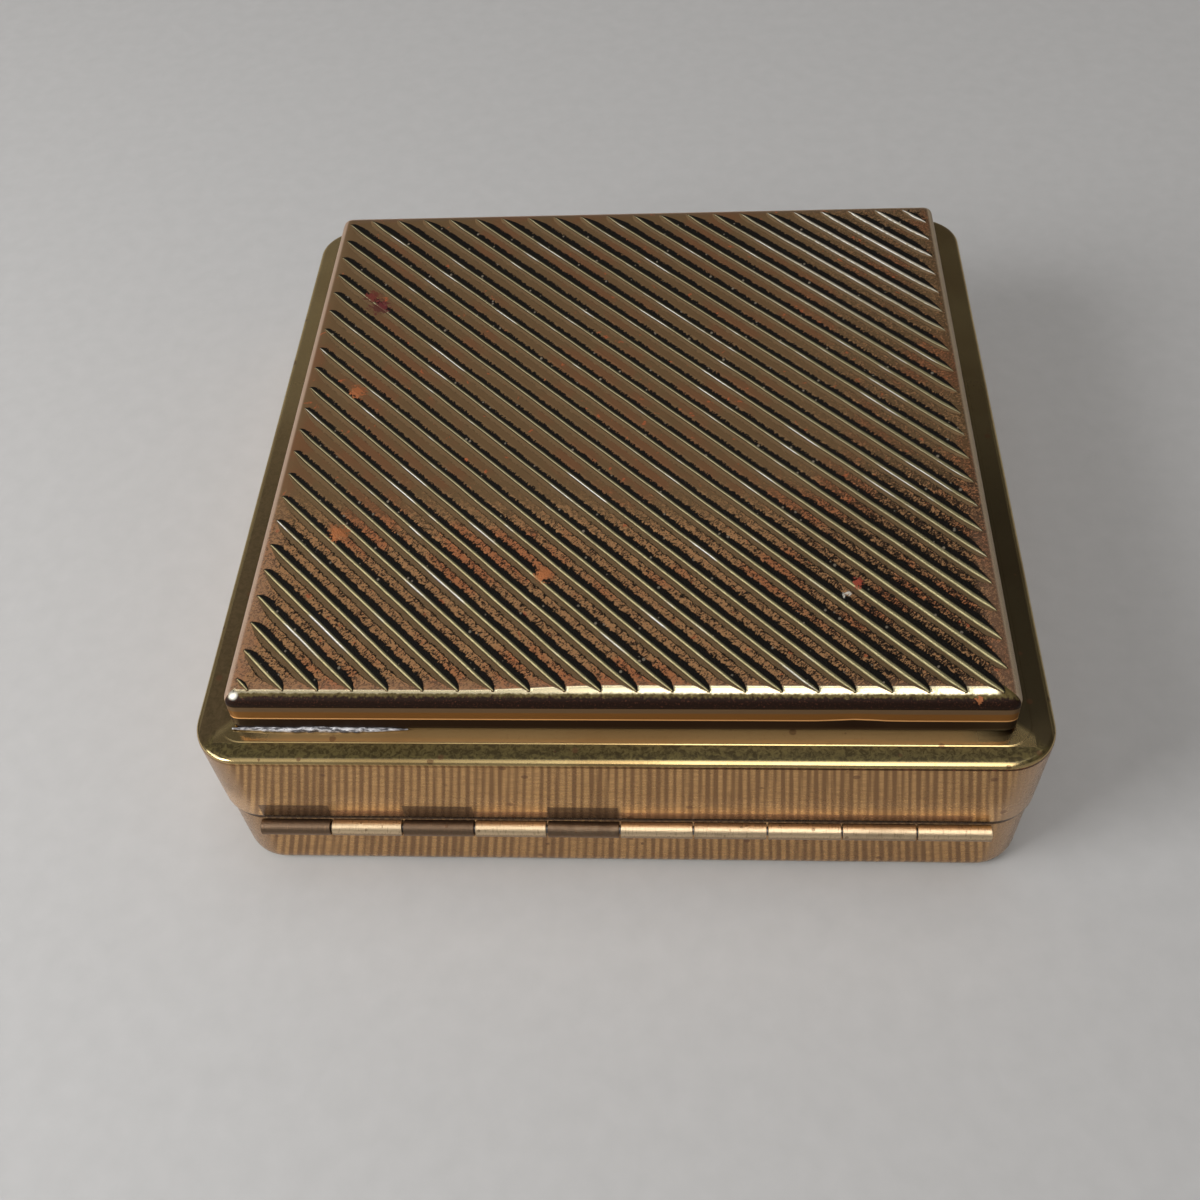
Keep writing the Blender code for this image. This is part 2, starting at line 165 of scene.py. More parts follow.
class Wire:
    """One output of a material's graph. Arithmetic on it adds Math nodes."""

    def __init__(self, graph, socket):
        self.graph = graph
        self.socket = socket

    def __add__(self, other):
        return self.graph.maths("ADD", self, other)

    def __radd__(self, other):
        return self.graph.maths("ADD", other, self)

    def __sub__(self, other):
        return self.graph.maths("SUBTRACT", self, other)

    def __rsub__(self, other):
        return self.graph.maths("SUBTRACT", other, self)

    def __mul__(self, other):
        return self.graph.maths("MULTIPLY", self, other)

    def __rmul__(self, other):
        return self.graph.maths("MULTIPLY", other, self)

    def __neg__(self):
        return 0.0 - self

    def __abs__(self):
        return self.graph.maths("ABSOLUTE", self, 0.0)


class Graph:
    """A node tree, and the few steps that the finishes share."""

    def __init__(self, tree):
        self.tree = tree

    def node(self, kind, settings, inputs, out=0):
        """The one step that adds a node; kind is its type's name after ShaderNode."""
        made = self.tree.nodes.new("ShaderNode" + kind)
        for name, value in settings.items():
            setattr(made, name, value)
        for key, value in inputs.items():
            if isinstance(value, Wire):
                self.tree.links.new(value.socket, made.inputs[key])
            else:
                made.inputs[key].default_value = value
        return Wire(self, made.outputs[out])

    def place(self):
        return self.node("TexCoord", {}, {}, "Object")

    def axes(self, vector):
        return [self.node("SeparateXYZ", {}, {0: vector}, axis) for axis in "XYZ"]

    def maths(self, operation, first, second):
        return self.node("Math", {"operation": operation}, {0: first, 1: second})

    def larger(self, first, second):
        return self.maths("MAXIMUM", first, second)

    def vectors(self, operation, first, second, out=0):
        return self.node("VectorMath", {"operation": operation}, {0: first, 1: second}, out)

    def distance(self, first, second):
        return self.vectors("DISTANCE", first, second, "Value")

    def inset(self, x, y, half):
        """Distance in from the nearest side of a square."""
        return half - self.larger(abs(x), abs(y))

    def facing(self, vector, toward):
        """How nearly a vector points one way: 1 along it, 0 across it."""
        return self.vectors("DOT_PRODUCT", vector, toward, "Value")

    def stretch(self, vector, x, y, z):
        return self.vectors("MULTIPLY", vector, (x, y, z))

    def grain(self, vector, size, detail=2.0, rough=0.5, warp=0.0):
        """Soft random grain, from 0 to 1, whose lumps are about the size given in metres."""
        inputs = {"Vector": vector, "Scale": 1.0 / size, "Detail": detail, "Roughness": rough}
        return self.node("TexNoise", {}, {**inputs, "Distortion": warp})

    def dots(self, vector, size, spread):
        """Round specks of random size, 1 at their middle; spread is the share of cells that hold one."""
        inputs = {"Vector": vector, "Scale": 1.0 / size}
        reach = self.node("TexVoronoi", {}, inputs, "Distance")
        colour = self.node("TexVoronoi", {}, inputs, "Color")
        chance = self.node("SeparateColor", {}, {0: colour}, 0)
        held = self.band(chance, 1.0 - spread, 1.0)
        return self.band(held * 0.45 - reach, 0.0, 0.15)

    def band(self, value, low, high):
        """0 up to low, 1 from high on, and smooth between them."""
        inputs = {0: value, 1: low, 2: high}
        return self.node("MapRange", {"interpolation_type": "SMOOTHSTEP"}, inputs)
    def fade(self, value, low, high):
        """1 up to low, 0 from high on, and smooth between them."""
        return 1.0 - self.band(value, low, high)


    def mix(self, share, first, second):
        colours = {0: share, 6: opaque(first), 7: opaque(second)}
        return self.node("Mix", {"data_type": "RGBA"}, colours, 2)

    def attribute(self, name):
        return self.node("Attribute", {"attribute_name": name}, {}, "Fac")

    def bump(self, height, distance):
        return self.node("Bump", {}, {"Height": height, "Distance": distance, "Strength": 1.0})


def opaque(colour):
    return (*colour, 1.0) if isinstance(colour, tuple) and len(colour) == 3 else colour


def new_finish(name):
    """The graph of a new material, and the place on its surface to build on."""
    material = bpy.data.materials.new(name)
    material.use_nodes = True
    graph = Graph(material.node_tree)
    graph.material = material
    return graph, graph.place()


def feed(graph, **values):
    """Sets the shader's sockets by name, with _ for a space, and gives the finished material."""
    shader = graph.tree.nodes["Principled BSDF"]
    for name, value in values.items():
        socket = shader.inputs[name.replace("_", " ").title().replace("Ior", "IOR")]
        if isinstance(value, Wire):
            graph.tree.links.new(value.socket, socket)
        else:
            socket.default_value = opaque(value) if isinstance(value, tuple) else value
    return graph.material


def make_case_brass():
    """Worn brass sheet: olive-gold where level, brown on the walls with upright pale streaks of painted
    reflection, and painted shade at the lid's joint with the base and under the shoulder.
    """
    graph, place = new_finish("case brass")
    mix, band = graph.mix, graph.band
    x, y, height = graph.axes(place)
    toward_x, toward_y, toward_z = graph.axes(graph.node("TexCoord", {}, {}, "Normal"))
    wall = graph.fade(toward_z * toward_z, 0.05, 0.3)
    bend = band(abs(toward_x * toward_y), 0.04, 0.30)
    inset = graph.inset(x, y, lid_half)
    hinge_wall = band(y, *HINGE_WALL)
    clouds = graph.grain(place, 12 * MM, 3.0)
    marks = graph.grain(place, 0.5 * MM, 4.0, 0.7, 0.8)
    brushing = graph.grain(graph.stretch(place, 0.03, 0.03, 1.0), 0.08 * MM, 2.0)
    specks = graph.dots(place, 0.9 * MM, 0.10)

    ledge = band(height, lid_high.z - 0.2 * MM, lid_high.z - 0.1 * MM) * band(inset, 0.35 * MM, 0.6 * MM)
    level, ledge_dark_reflection_share, ledge_golden_reflection = ledge_colours(graph, x, y, inset, ledge, clouds, marks)
    streaks = painted_wall_reflections(graph, place, toward_y, bend)
    colour = mix(wall, level, wall_colours(graph, x, height, hinge_wall, streaks, bend, marks))
    # Painted shade: a dark band at the joint between lid and base.
    seam_shade = band(height, base_high.z - 0.50 * MM, base_high.z - 0.42 * MM)
    seam_shade = seam_shade * graph.fade(height, lid_low.z + 0.18 * MM, lid_low.z + 0.28 * MM)
    seam_shade = seam_shade * graph.fade(inset, 1.6 * MM, 1.8 * MM)
    colour = mix(seam_shade * 0.92, colour, (0.03, 0.016, 0.008))
    # Painted shade: a dark line on the wall just under the ledge's shoulder, stronger towards -X.
    shoulder = lid_high.z - SHOULDER_DROP
    shoulder_shade_line = band(height, shoulder, shoulder + 0.06 * MM)
    shoulder_shade_line = shoulder_shade_line * graph.fade(height, shoulder + 0.22 * MM, shoulder + 0.30 * MM)
    shoulder_shade_line = shoulder_shade_line * (1.0 - ledge) * (0.35 + 0.6 * band(-x, -12 * MM, 12 * MM))
    colour = mix(shoulder_shade_line, colour, mix(band(marks, 0.5, 0.6), (0.04, 0.02, 0.01), (0.16, 0.05, 0.03)))
    colour = mix(brushing * 0.25 * wall, colour, (0.25, 0.12, 0.05))
    colour = mix(specks * 0.6, colour, (0.16, 0.07, 0.035))

    # Metal is lowered over the tubes' painted reflections and the ledge's painted reflections, so their
    # painted colours show.
    tube_reflection_matte = band(height, 9.0 * MM, 9.4 * MM) * graph.fade(height, TUBE_REFLECTION_MATTE_TOP, TUBE_REFLECTION_MATTE_TOP + 3.0 * MM)
    metal = 1.0 - ledge_dark_reflection_share * 0.45 - ledge_golden_reflection * 0.6 - tube_reflection_matte * wall * hinge_wall * 0.55
    roughness = 0.10 + 0.06 * clouds + 0.08 * marks + 0.10 * wall
    relief = brushing * 0.4 * wall + marks * 0.5 - specks * 0.5
    return feed(graph, base_color=colour, metallic=metal, roughness=roughness,
                normal=graph.bump(relief, 0.006 * MM))


def ledge_colours(graph, x, y, inset, ledge, clouds, marks):
    """The level faces; on the ledge a golden band within the ledge line, an olive band outside it at the
    front and browner sides that turn near-black towards -X, all painted reflections; and the shares of the
    two painted borders.
    """
    mix, band = graph.mix, graph.band
    colour = mix(band(clouds, 0.42, 0.72), (0.60, 0.45, 0.21), (0.46, 0.32, 0.14))
    colour = mix(band(marks, 0.5, 0.75) * 0.35, colour, (0.25, 0.16, 0.07))
    # Painted reflections: an olive band outside the ledge line at the front, browner sides, near-black
    # towards -X.
    sideways = band(abs(x) - y, 0.0, 1.5 * MM)
    outer = graph.fade(inset, LEDGE_LINE - 0.05 * MM, LEDGE_LINE)
    olive = mix(band(marks, 0.40, 0.62), (0.028, 0.022, 0.008), (0.15, 0.12, 0.04))
    browned = mix(band(marks, 0.35, 0.65), (0.045, 0.03, 0.014), (0.10, 0.065, 0.033))
    browned = mix(band(-x, 20 * MM, 34 * MM), browned, (0.022, 0.016, 0.008))
    ledge_dark_reflection_share = ledge * graph.larger(outer, sideways) * 0.9
    ledge_dark_reflection_share = ledge_dark_reflection_share * (1.0 - 0.5 * band(-y, -12 * MM, 30 * MM))
    colour = mix(ledge_dark_reflection_share, colour, mix(sideways, olive, browned))
    # Painted reflection: a golden band within the ledge line.
    ledge_golden_reflection = band(inset, LEDGE_LINE + 0.10 * MM, LEDGE_LINE + 0.18 * MM)
    ledge_golden_reflection = ledge_golden_reflection * ledge * graph.fade(abs(x), 29 * MM, 34 * MM) * 0.7
    return mix(ledge_golden_reflection, colour, (0.36, 0.19, 0.065)), ledge_dark_reflection_share, ledge_golden_reflection


def painted_wall_reflections(graph, place, toward_y, bend):
    """Painted reflection streaks: upright bars, fanned with height on walls that face +Y, broken along their
    length, and calmer round the corners and off the hinge wall.
    """
    band = graph.band
    x, y, height = graph.axes(place)
    fan = FAN_SLOPE * (height - FAN_LEVEL) * graph.larger(toward_y, 0.0)
    fanned_x = x + (x - FAN_CENTRE) * fan
    fanned = graph.node("CombineXYZ", {}, {0: fanned_x, 1: y, 2: height * 0.02})
    wave = {"Scale": WAVE_LENGTH / BAR_PITCH, "Distortion": 1.2, "Detail": 1.0, "Detail Scale": 0.3}
    bars = graph.node("TexWave", {"bands_direction": "DIAGONAL"}, {"Vector": fanned, **wave}, "Fac")
    wide = band(graph.grain(fanned, 0.5 * MM, 2.0), 0.35, 0.65)
    thin = graph.grain(fanned, 0.16 * MM, 1.0)
    broken = graph.grain(graph.stretch(place, 0.20, 0.20, 1.0), 0.24 * MM, 2.0)
    streaks = band(bars * 0.46 + wide * 0.26 + thin * 0.28, 0.26, 0.76)
    calm = graph.larger(0.8 * bend, 0.62 - 0.62 * band(toward_y, 0.5, 0.9))
    return streaks * (0.72 + 1.1 * (broken - 0.5)) * (1.0 - calm) + 0.12 + 0.35 * calm


def wall_colours(graph, x, height, hinge_wall, streaks, bend, marks):
    """Brown walls with pale streaks of painted reflection; above the hinge, a browner band and darker patches
    over three tubes, painted reflections of the tubes.
    """
    mix, band, fade = graph.mix, graph.band, graph.fade
    # The pale streaks are painted reflections; the round corners get a plainer, lighter tone.
    colour = mix(streaks, (0.25, 0.128, 0.052), (0.78, 0.46, 0.185))
    colour = mix(bend * 0.5, colour, (0.50, 0.33, 0.20))
    # Painted reflections of the hinge tubes in the wall: a browner band over them all, and darker patches
    # over the three dark lid tubes.
    above_seam = hinge_wall * band(height, STRIP_LOW, STRIP_LOW + 0.1 * MM)
    tube_reflection_strip = above_seam * fade(height, STRIP_TOP, STRIP_TOP + 0.15 * MM)
    tube_reflection_strip = tube_reflection_strip * fade(abs(x), STRIP_REACH, STRIP_REACH + 0.3 * MM)
    colour = mix(tube_reflection_strip * 0.8, colour, mix(streaks, (0.20, 0.105, 0.06), (0.36, 0.19, 0.10)))
    ragged = height + (marks - 0.5) * 0.1 * MM
    dark_tube_reflections = above_seam * fade(ragged, PATCH_TOP, PATCH_TOP + 0.12 * MM)
    for number in DARK_REFLECTED_TUBES:
        low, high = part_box(f"lid_knuckle_{number}")
        above = band(x, low.x - 0.1 * MM, low.x + 0.1 * MM) * fade(x, high.x - 0.1 * MM, high.x) * dark_tube_reflections
        colour = mix(above * 0.85, colour, mix(streaks, (0.07, 0.042, 0.026), (0.15, 0.09, 0.05)))
    return colour


def make_plate_brass():
    """Corroded lands, hinge-side flanks painted black as crust and painted shade, valleys with a painted
    highlight line, and at the hinge a pale polished border band painted to show a white highlight.
    """
    graph, place = new_finish("plate brass")
    plate = plate_masks(graph, place)
    colour, raised = land_colours(graph, plate)
    colour, smooth, black, valley = groove_colours(graph, plate, colour)
    colour, near_side, highlight_band, mottled_reflection, rim, side = border_colours(graph, plate, colour)
    for spot, radius, tint in PLATE_MARKS:
        away = graph.distance(place, spot)
        away = away + ((plate.crumbs - 0.5) * 3.6 + (plate.hairs - 0.5) * 1.6) * (radius * 0.8)
        colour = graph.mix(0.85 - 0.85 * graph.band(away, radius * 0.7, radius), colour, tint)
    # A painted highlight on the plate's near left corner.
    away = graph.distance(place, CORNER_HIGHLIGHT) + (plate.crust - 0.5) * 0.1 * MM
    colour = graph.mix(graph.fade(away, 0.15 * MM, 0.55 * MM), colour, (1.0, 0.97, 0.85))

    metal = 0.3 + highlight_band * 0.7 + mottled_reflection * 0.5 + valley * 0.3 + rim * 0.2 + side * 0.45
    roughness = 0.42 + black * 0.2 - highlight_band * 0.24 - valley * 0.1
    roughness = roughness + near_side * (1.0 - highlight_band) * 0.06 - side * 0.16
    crusty = plate.crust * (plate.crumbly * 0.7 + black * 0.5) * (1.0 - smooth)
    relief = (crusty + raised * plate.crumbly * 0.4) * (1.0 - near_side)
    return feed(graph, base_color=colour, metallic=metal, roughness=roughness, specular_IOR_level=0.12,
                normal=graph.bump(relief, 0.06 * MM))


def plate_masks(graph, place):
    """Grains and places that the plate's colours share: near is at the hinge, and right is at -X."""
    x, y, z = graph.axes(place)
    turned = graph.node("Mapping", {}, {0: place, 2: (0.0, 0.0, math.radians(45))})
    lean = graph.attribute("lean")
    plate = SimpleNamespace(place=place, x=x, y=y, fall=plate_high.z - z, inset=graph.inset(x, y, plate_half))
    plate.reach = graph.attribute("reach")
    plate.hinge_side = graph.band(lean, 0.05, 0.35)
    plate.far_side = graph.band(-lean, 0.05, 0.35)
    plate.near = graph.band(y, 4 * MM, 24 * MM)
    plate.far = graph.band(-y, 8 * MM, 30 * MM)
    plate.right = graph.band(-x, 8 * MM, 28 * MM)
    plate.left = graph.band(x, 0.0, 14 * MM)
    plate.crust = graph.grain(place, 0.15 * MM, 3.0, 0.65, 0.5)
    plate.hairs = graph.grain(graph.stretch(turned, 1.0, 0.4, 1.0), 0.13 * MM, 2.0, 0.6)
    plate.crumbs = graph.grain(place, 0.36 * MM, 2.0, 0.6)
    plate.clouds = graph.grain(place, 7 * MM, 3.0)
    plate.brushing = graph.grain(graph.stretch(turned, 0.06, 1.0, 1.0), 0.10 * MM, 2.0)
    plate.ragged = plate.reach + (plate.hairs - 0.5) * 0.7 + (plate.crumbs - 0.5) * 0.7
    plate.crumbly = graph.band(plate.near + plate.right * 0.4 + (plate.crumbs - 0.5) * 0.8, 0.15, 0.75)
    return plate


def land_colours(graph, plate):
    """Brown lands, crumbly near the hinge and on the right, with spots of rust."""
    mix, band = graph.mix, graph.band
    reddish = band(plate.clouds, 0.48, 0.64)
    grains = plate.hairs * 0.4 + plate.crust * 0.3 + plate.crumbs * 0.3
    raised = band(grains - plate.right * 0.05, 0.44, 0.52)
    colour = mix(reddish, (0.150, 0.090, 0.041), (0.175, 0.082, 0.037))
    colour = mix(plate.brushing * 0.4, colour, (0.10, 0.06, 0.03))
    crumb_colour = mix(reddish, (0.33, 0.175, 0.077), (0.35, 0.137, 0.057))
    # The low grains between the raised crumbs are painted near-black as shade.
    crumb_colour = mix(raised, (0.02, 0.012, 0.007), crumb_colour)
    colour = mix(plate.crumbly, colour, crumb_colour)
    rust = band(graph.grain(plate.place, 1.1 * MM, 4.0, 0.6, 0.4), 0.66, 0.70)
    return mix(rust, colour, (0.34, 0.10, 0.04)), raised


def groove_colours(graph, plate, colour):
    """Over the lands: far flanks in a painted reflection colour, hinge-side flanks painted black as crust and
    painted shade, a painted sheen by each valley, and a painted highlight line with painted glints in the
    valleys.
    """
    mix, band, fade = graph.mix, graph.band, graph.fade
    near, right, far_side, reach, ragged = plate.near, plate.right, plate.far_side, plate.reach, plate.ragged
    # The smooth far flanks get a painted reflection colour, lighter near the hinge and to the right.
    smooth = far_side * band(reach, 0.12, 0.2) * fade(ragged, 0.88, 0.96)
    far_flank_reflection = mix(near, (0.30, 0.19, 0.09), mix(right, (0.25, 0.16, 0.08), (0.20, 0.13, 0.065)))
    far_flank_reflection = mix(plate.brushing * 0.5, far_flank_reflection, (0.12, 0.07, 0.035))
    colour = mix(smooth, colour, far_flank_reflection)
    dark_edge = far_side * plate.crumbly * band(ragged, 0.84, 0.90) * fade(ragged, 1.06, 1.16)
    colour = mix(dark_edge, colour, (0.008, 0.005, 0.003))
    shade_line = far_side * band(reach, 0.06, 0.10) * fade(reach, 0.15, 0.24)
    colour = mix(shade_line, colour, (0.015, 0.009, 0.004))
    # Hinge-side flanks painted black: partly a dark crust, partly painted shade.
    limit = 0.74 + near * 0.30 + right * 0.16 + plate.far * 0.24
    black = plate.hinge_side * fade(ragged - limit, -0.03, 0.05)
    flecks = graph.dots(plate.place, 0.4 * MM, 0.14)
    colour = mix(black, colour, mix(flecks * 0.6, (0.004, 0.003, 0.002), (0.24, 0.20, 0.15)))
    # Painted sheen beside each valley, paler where the far right's lines shine.
    painted_shine_zone = plate.far * right
    painted_sheen = fade(reach - near * 0.06 - right * 0.12, 0.06, 0.30) * (1.0 - far_side)
    colour = mix(painted_sheen * 0.85, colour, mix(painted_shine_zone, (0.20, 0.175, 0.09), (0.50, 0.45, 0.36)))
    # The valley line is a painted highlight, with painted glints along it.
    widened = near * 0.035 + near * right * 0.04 + painted_shine_zone * 0.05
    valley = fade(reach - widened, 0.035, 0.11) * (1.0 - far_side * 0.5)
    painted_glint = band(graph.grain(plate.place, 6 * MM, 2.0), 0.56, 0.68) * (1.0 - near * right)
    painted_glint = graph.larger(painted_glint, painted_shine_zone * band(plate.crumbs, 0.3, 0.6))
    valley_highlight_colour = mix(near, (0.50, 0.43, 0.26), (0.72, 0.63, 0.34))
    colour = mix(valley, colour, mix(painted_glint, valley_highlight_colour, (0.98, 0.96, 0.90)))
    return colour, smooth, black, valley


def border_colours(graph, plate, colour):
    """Over that: the hinge side's border with a pale polished band painted to show a white highlight, a
    painted olive reflection beside it and a darker band, and its skirt of painted reflections; the rim's
    painted highlight; and the other sides.
    """
    mix, band, fade = graph.mix, graph.band, graph.fade
    inset, fall, crumbs = plate.inset, plate.fall, plate.crumbs
    flats = fade(inset + (crumbs - 0.5) * 1.5 * MM, 1.5 * MM, 3.0 * MM) * band(plate.reach, 1.1, 1.2)
    colour = mix(flats * 0.55 * plate.near, colour, (0.27, 0.15, 0.088))
    edge = fade(inset, 0.7 * MM, 1.0 * MM)
    near_side = band(inset + plate.y, plate_half - 0.3 * MM, plate_half - 0.1 * MM)
    near_side = near_side * band(plate.reach, 1.12, 1.18)
    shown = 1.77 * MM - plate.left * 0.5 * MM
    near_side = near_side * fade(inset - shown, -0.08 * MM, 0.10 * MM)
    # The hinge-side border band is painted paler and polished to show a white highlight; the speckled olive
    # band beside it is a painted reflection.
    highlight_band = near_side * band(inset + (crumbs - 0.5) * 0.35 * MM, 0.90 * MM, 1.20 * MM)
    highlight_band = highlight_band * fade(-plate.x, 32.0 * MM, 32.6 * MM)
    mottled_reflection = near_side * band(inset + (crumbs - 0.5) * 0.7 * MM, 0.60 * MM, 0.85 * MM) * (1.0 - highlight_band)
    # The rim is a painted highlight along the plate's rounded top edge.
    rim = band(fall, 0.10 * MM, 0.22 * MM) * (1.0 - near_side) * edge
    colour = mix(rim, colour, mix(plate.right, (0.46, 0.32, 0.23), (0.40, 0.31, 0.21)))
    side = band(fall, 0.55 * MM, 0.80 * MM) * (1.0 - near_side) * edge
    colour = mix(side, colour, mix(crumbs, (0.30, 0.19, 0.085), (0.52, 0.36, 0.17)))
    # A darker, speckled band on the near rounded border.
    border_dark_band = mix(band(plate.crust, 0.56, 0.72), (0.016, 0.007, 0.004), (0.10, 0.035, 0.020))
    # The near skirt's bands are painted reflections: a tan band, a golden-orange band, an orange line
    # mirroring the ledge's line, and a dark band mirroring the ledge.
    skirt = mix(band(fall, 1.72 * MM, 1.90 * MM), (0.15, 0.090, 0.045), (0.20, 0.085, 0.020))
    skirt = mix(band(fall, 2.66 * MM, 2.72 * MM), skirt, (0.80, 0.42, 0.16))
    skirt = mix(band(fall, 2.80 * MM, 2.88 * MM), skirt, (0.018, 0.008, 0.004))
    colour = mix(near_side, colour, mix(band(fall, 1.16 * MM, 1.20 * MM), border_dark_band, skirt))
    colour = mix(mottled_reflection, colour, mix(crumbs, (0.03, 0.020, 0.008), (0.17, 0.13, 0.05)))
    colour = mix(highlight_band, colour, (0.78, 0.68, 0.44))
    return colour, near_side, highlight_band, mottled_reflection, rim, side


def make_tube_brass():
    """Drawn tube, brushed along its length; three of the lid's tubes have gone brown; the lower side and the
    side toward the wall are painted darker as painted shade.
    """
    graph, place = new_finish("tube brass")
    tarnish = graph.attribute("tarnish")
    brushing = graph.grain(graph.stretch(place, 0.05, 1.0, 1.0), 0.08 * MM, 2.0)
    scuffs = graph.grain(graph.stretch(place, 1.0, 0.25, 0.25), 0.16 * MM, 3.0, 0.6)
    blotches = graph.grain(place, 1.2 * MM, 3.0)
    specks = graph.dots(place, 0.5 * MM, 0.15)
    browned = graph.band(tarnish + (blotches - 0.5) * 0.5, 0.15, 0.85)
    colour = graph.mix(browned, (0.72, 0.55, 0.35), (0.15, 0.10, 0.065))
    colour = graph.mix(graph.band(scuffs, 0.52, 0.70) * 0.45, colour, (0.24, 0.14, 0.075))
    _, y, height = graph.axes(place)
    # The tubes' lower side is painted browner as painted shade.
    lower_side_shade = graph.fade(height + (scuffs - 0.5) * 0.5 * MM, 8.95 * MM, 9.20 * MM)
    colour = graph.mix(lower_side_shade * 0.7, colour, (0.26, 0.165, 0.10))
    # The side of each tube toward the wall is painted near-black as painted shade.
    wall_side_shade = graph.fade(y, TUBE_SHADE_EDGE - 0.04 * MM, TUBE_SHADE_EDGE + 0.04 * MM)
    colour = graph.mix(wall_side_shade, colour, (0.025, 0.014, 0.008))
    colour = graph.mix(specks * 0.5, colour, (0.12, 0.06, 0.03))
    roughness = 0.22 + brushing * 0.10 + scuffs * 0.14 + browned * 0.10
    return feed(graph, base_color=colour, metallic=1.0, roughness=roughness,
                normal=graph.bump(brushing + scuffs * 1.5 + specks, 0.012 * MM))


def make_spring_steel():
    graph, place = new_finish("spring steel")
    lines = graph.grain(graph.stretch(place, 0.04, 1.0, 1.0), 0.1 * MM, 2.0)
    colour = graph.mix(lines, (0.10, 0.10, 0.105), (0.22, 0.22, 0.23))
    return feed(graph, base_color=colour, metallic=1.0, roughness=0.22 + lines * 0.2,
                normal=graph.bump(lines, 0.006 * MM))


def make_velvet():
    """Short wine-red pile, brushed this way and that."""
    graph, place = new_finish("velvet")
    pile = graph.grain(place, 0.16 * MM, 3.0, 0.7)
    strokes = graph.grain(place, 9 * MM, 3.0, 0.55, 0.8)
    shade = graph.band(strokes, 0.35, 0.68)
    colour = graph.mix(shade, (0.16, 0.012, 0.028), (0.33, 0.035, 0.06))
    colour = graph.mix(pile * 0.6, colour, (0.07, 0.004, 0.012))
    return feed(graph, base_color=colour, roughness=0.75 + pile * 0.2,
                normal=graph.bump(pile + strokes * 0.5, 0.12 * MM),
                sheen_weight=0.6, sheen_roughness=0.35, sheen_tint=(0.9, 0.35, 0.4), specular_IOR_level=0.25)


def make_card():
    graph, place = new_finish("grey board")
    fibres = graph.grain(graph.stretch(place, 0.3, 1.0, 1.0), 0.3 * MM, 4.0, 0.65)
    colour = graph.mix(fibres, (0.36, 0.30, 0.22), (0.52, 0.45, 0.34))
    return feed(graph, base_color=colour, roughness=0.85 + fibres * 0.1,
                normal=graph.bump(fibres, 0.05 * MM))


def make_mirror_silver():
    """Silvered glass with a little haze and a few spots where the silver has gone."""
    graph, place = new_finish("mirror silver")
    haze = graph.grain(place, 7 * MM, 4.0, 0.6)
    spots = graph.dots(place, 2.4 * MM, 0.05)
    colour = graph.mix(spots * 0.8, (0.86, 0.88, 0.88), (0.20, 0.18, 0.15))
    return feed(graph, base_color=colour, metallic=1.0, roughness=0.015 + haze * 0.03 + spots * 0.4,
                coat_weight=0.5, normal=graph.bump(haze, 0.002 * MM))


def make_solder():
    """Dull grey-white solder and flux left along the plate's foot."""
    graph, place = new_finish("old solder")
    lumps = graph.grain(graph.stretch(place, 0.3, 1.0, 1.0), 0.22 * MM, 4.0, 0.65)
    colour = graph.mix(graph.band(lumps, 0.40, 0.62), (0.07, 0.065, 0.07), (0.60, 0.59, 0.60))
    return feed(graph, base_color=colour, metallic=0.35, roughness=0.35 + lumps * 0.3,
                normal=graph.bump(lumps, 0.08 * MM))


def make_floor_finish():
    """Plain pale ground, faintly mottled."""
    graph, place = new_finish("pale ground")
    mottle = graph.grain(place, 2.5 * MM, 3.0)
    colour = graph.mix(mottle, (0.42, 0.416, 0.412), (0.47, 0.466, 0.462))
    return feed(graph, base_color=colour, roughness=0.9, specular_IOR_level=0.2)


def heading(angle):
    return Vector((math.cos(angle), math.sin(angle)))


def square_ring(half, corner, height):
    """Points round a square with round corners, counter-clockwise from the +X side's upper end."""
    middle = half - corner
    points = []
    for quarter in range(4):
        turn = math.radians(90 * quarter)
        across = heading(turn)
        onward = Vector((-across.y, across.x))
        centre = (across + onward) * middle
        for step in range(CORNER_STEPS + 1):
            angle = turn + math.radians(90) * step / CORNER_STEPS
            spot = centre + corner * heading(angle)
            points.append(Vector((spot.x, spot.y, height)))
        for step in range(1, SIDE_STEPS):
            along = 1.0 - 2.0 * step / SIDE_STEPS
            spot = onward * half + across * middle * along
            points.append(Vector((spot.x, spot.y, height)))
    return points


def outline(corners, bend_steps=6):
    """Points along (inset, height, before, after) corners, each bent from before to after it."""
    path = []
    count = len(corners)
    for index, (inset, height, before, after) in enumerate(corners):
        here = Vector((inset, height))
        if before == 0.0 or index in (0, count - 1):
            path.append(here)
            continue
        back = Vector(corners[index - 1][:2]) - here
        onward = Vector(corners[index + 1][:2]) - here
        start = here + back.normalized() * before
        end = here + onward.normalized() * after
        for step in range(bend_steps + 1):
            t = step / bend_steps
            path.append(start * (1 - t) ** 2 + here * 2 * t * (1 - t) + end * t * t)
    return path


def spaced(path, spacing):
    """The same path with points no further apart than spacing."""
    points = [path[0]]
    for here, there in zip(path, path[1:]):
        pieces = max(1, math.ceil((there - here).length / spacing))
        points += [here.lerp(there, piece / pieces) for piece in range(1, pieces + 1)]
    return points


def loft(name, rings, material, closed=False):
    """A smooth mesh through rings of points; its two ends are capped unless it closes on itself."""
    bm = bmesh.new()
    rows = [[bm.verts.new(point) for point in ring] for ring in rings]
    pairs = list(zip(rows, rows[1:]))
    if closed:
        pairs.append((rows[-1], rows[0]))
    for first, second in pairs:
        for index in range(len(first)):
            onward = (index + 1) % len(first)
            bm.faces.new((first[index], first[onward], second[onward], second[index]))
    if not closed:
        bm.faces.new(rows[0])
        bm.faces.new(rows[-1])
    return finished(name, bm, material)


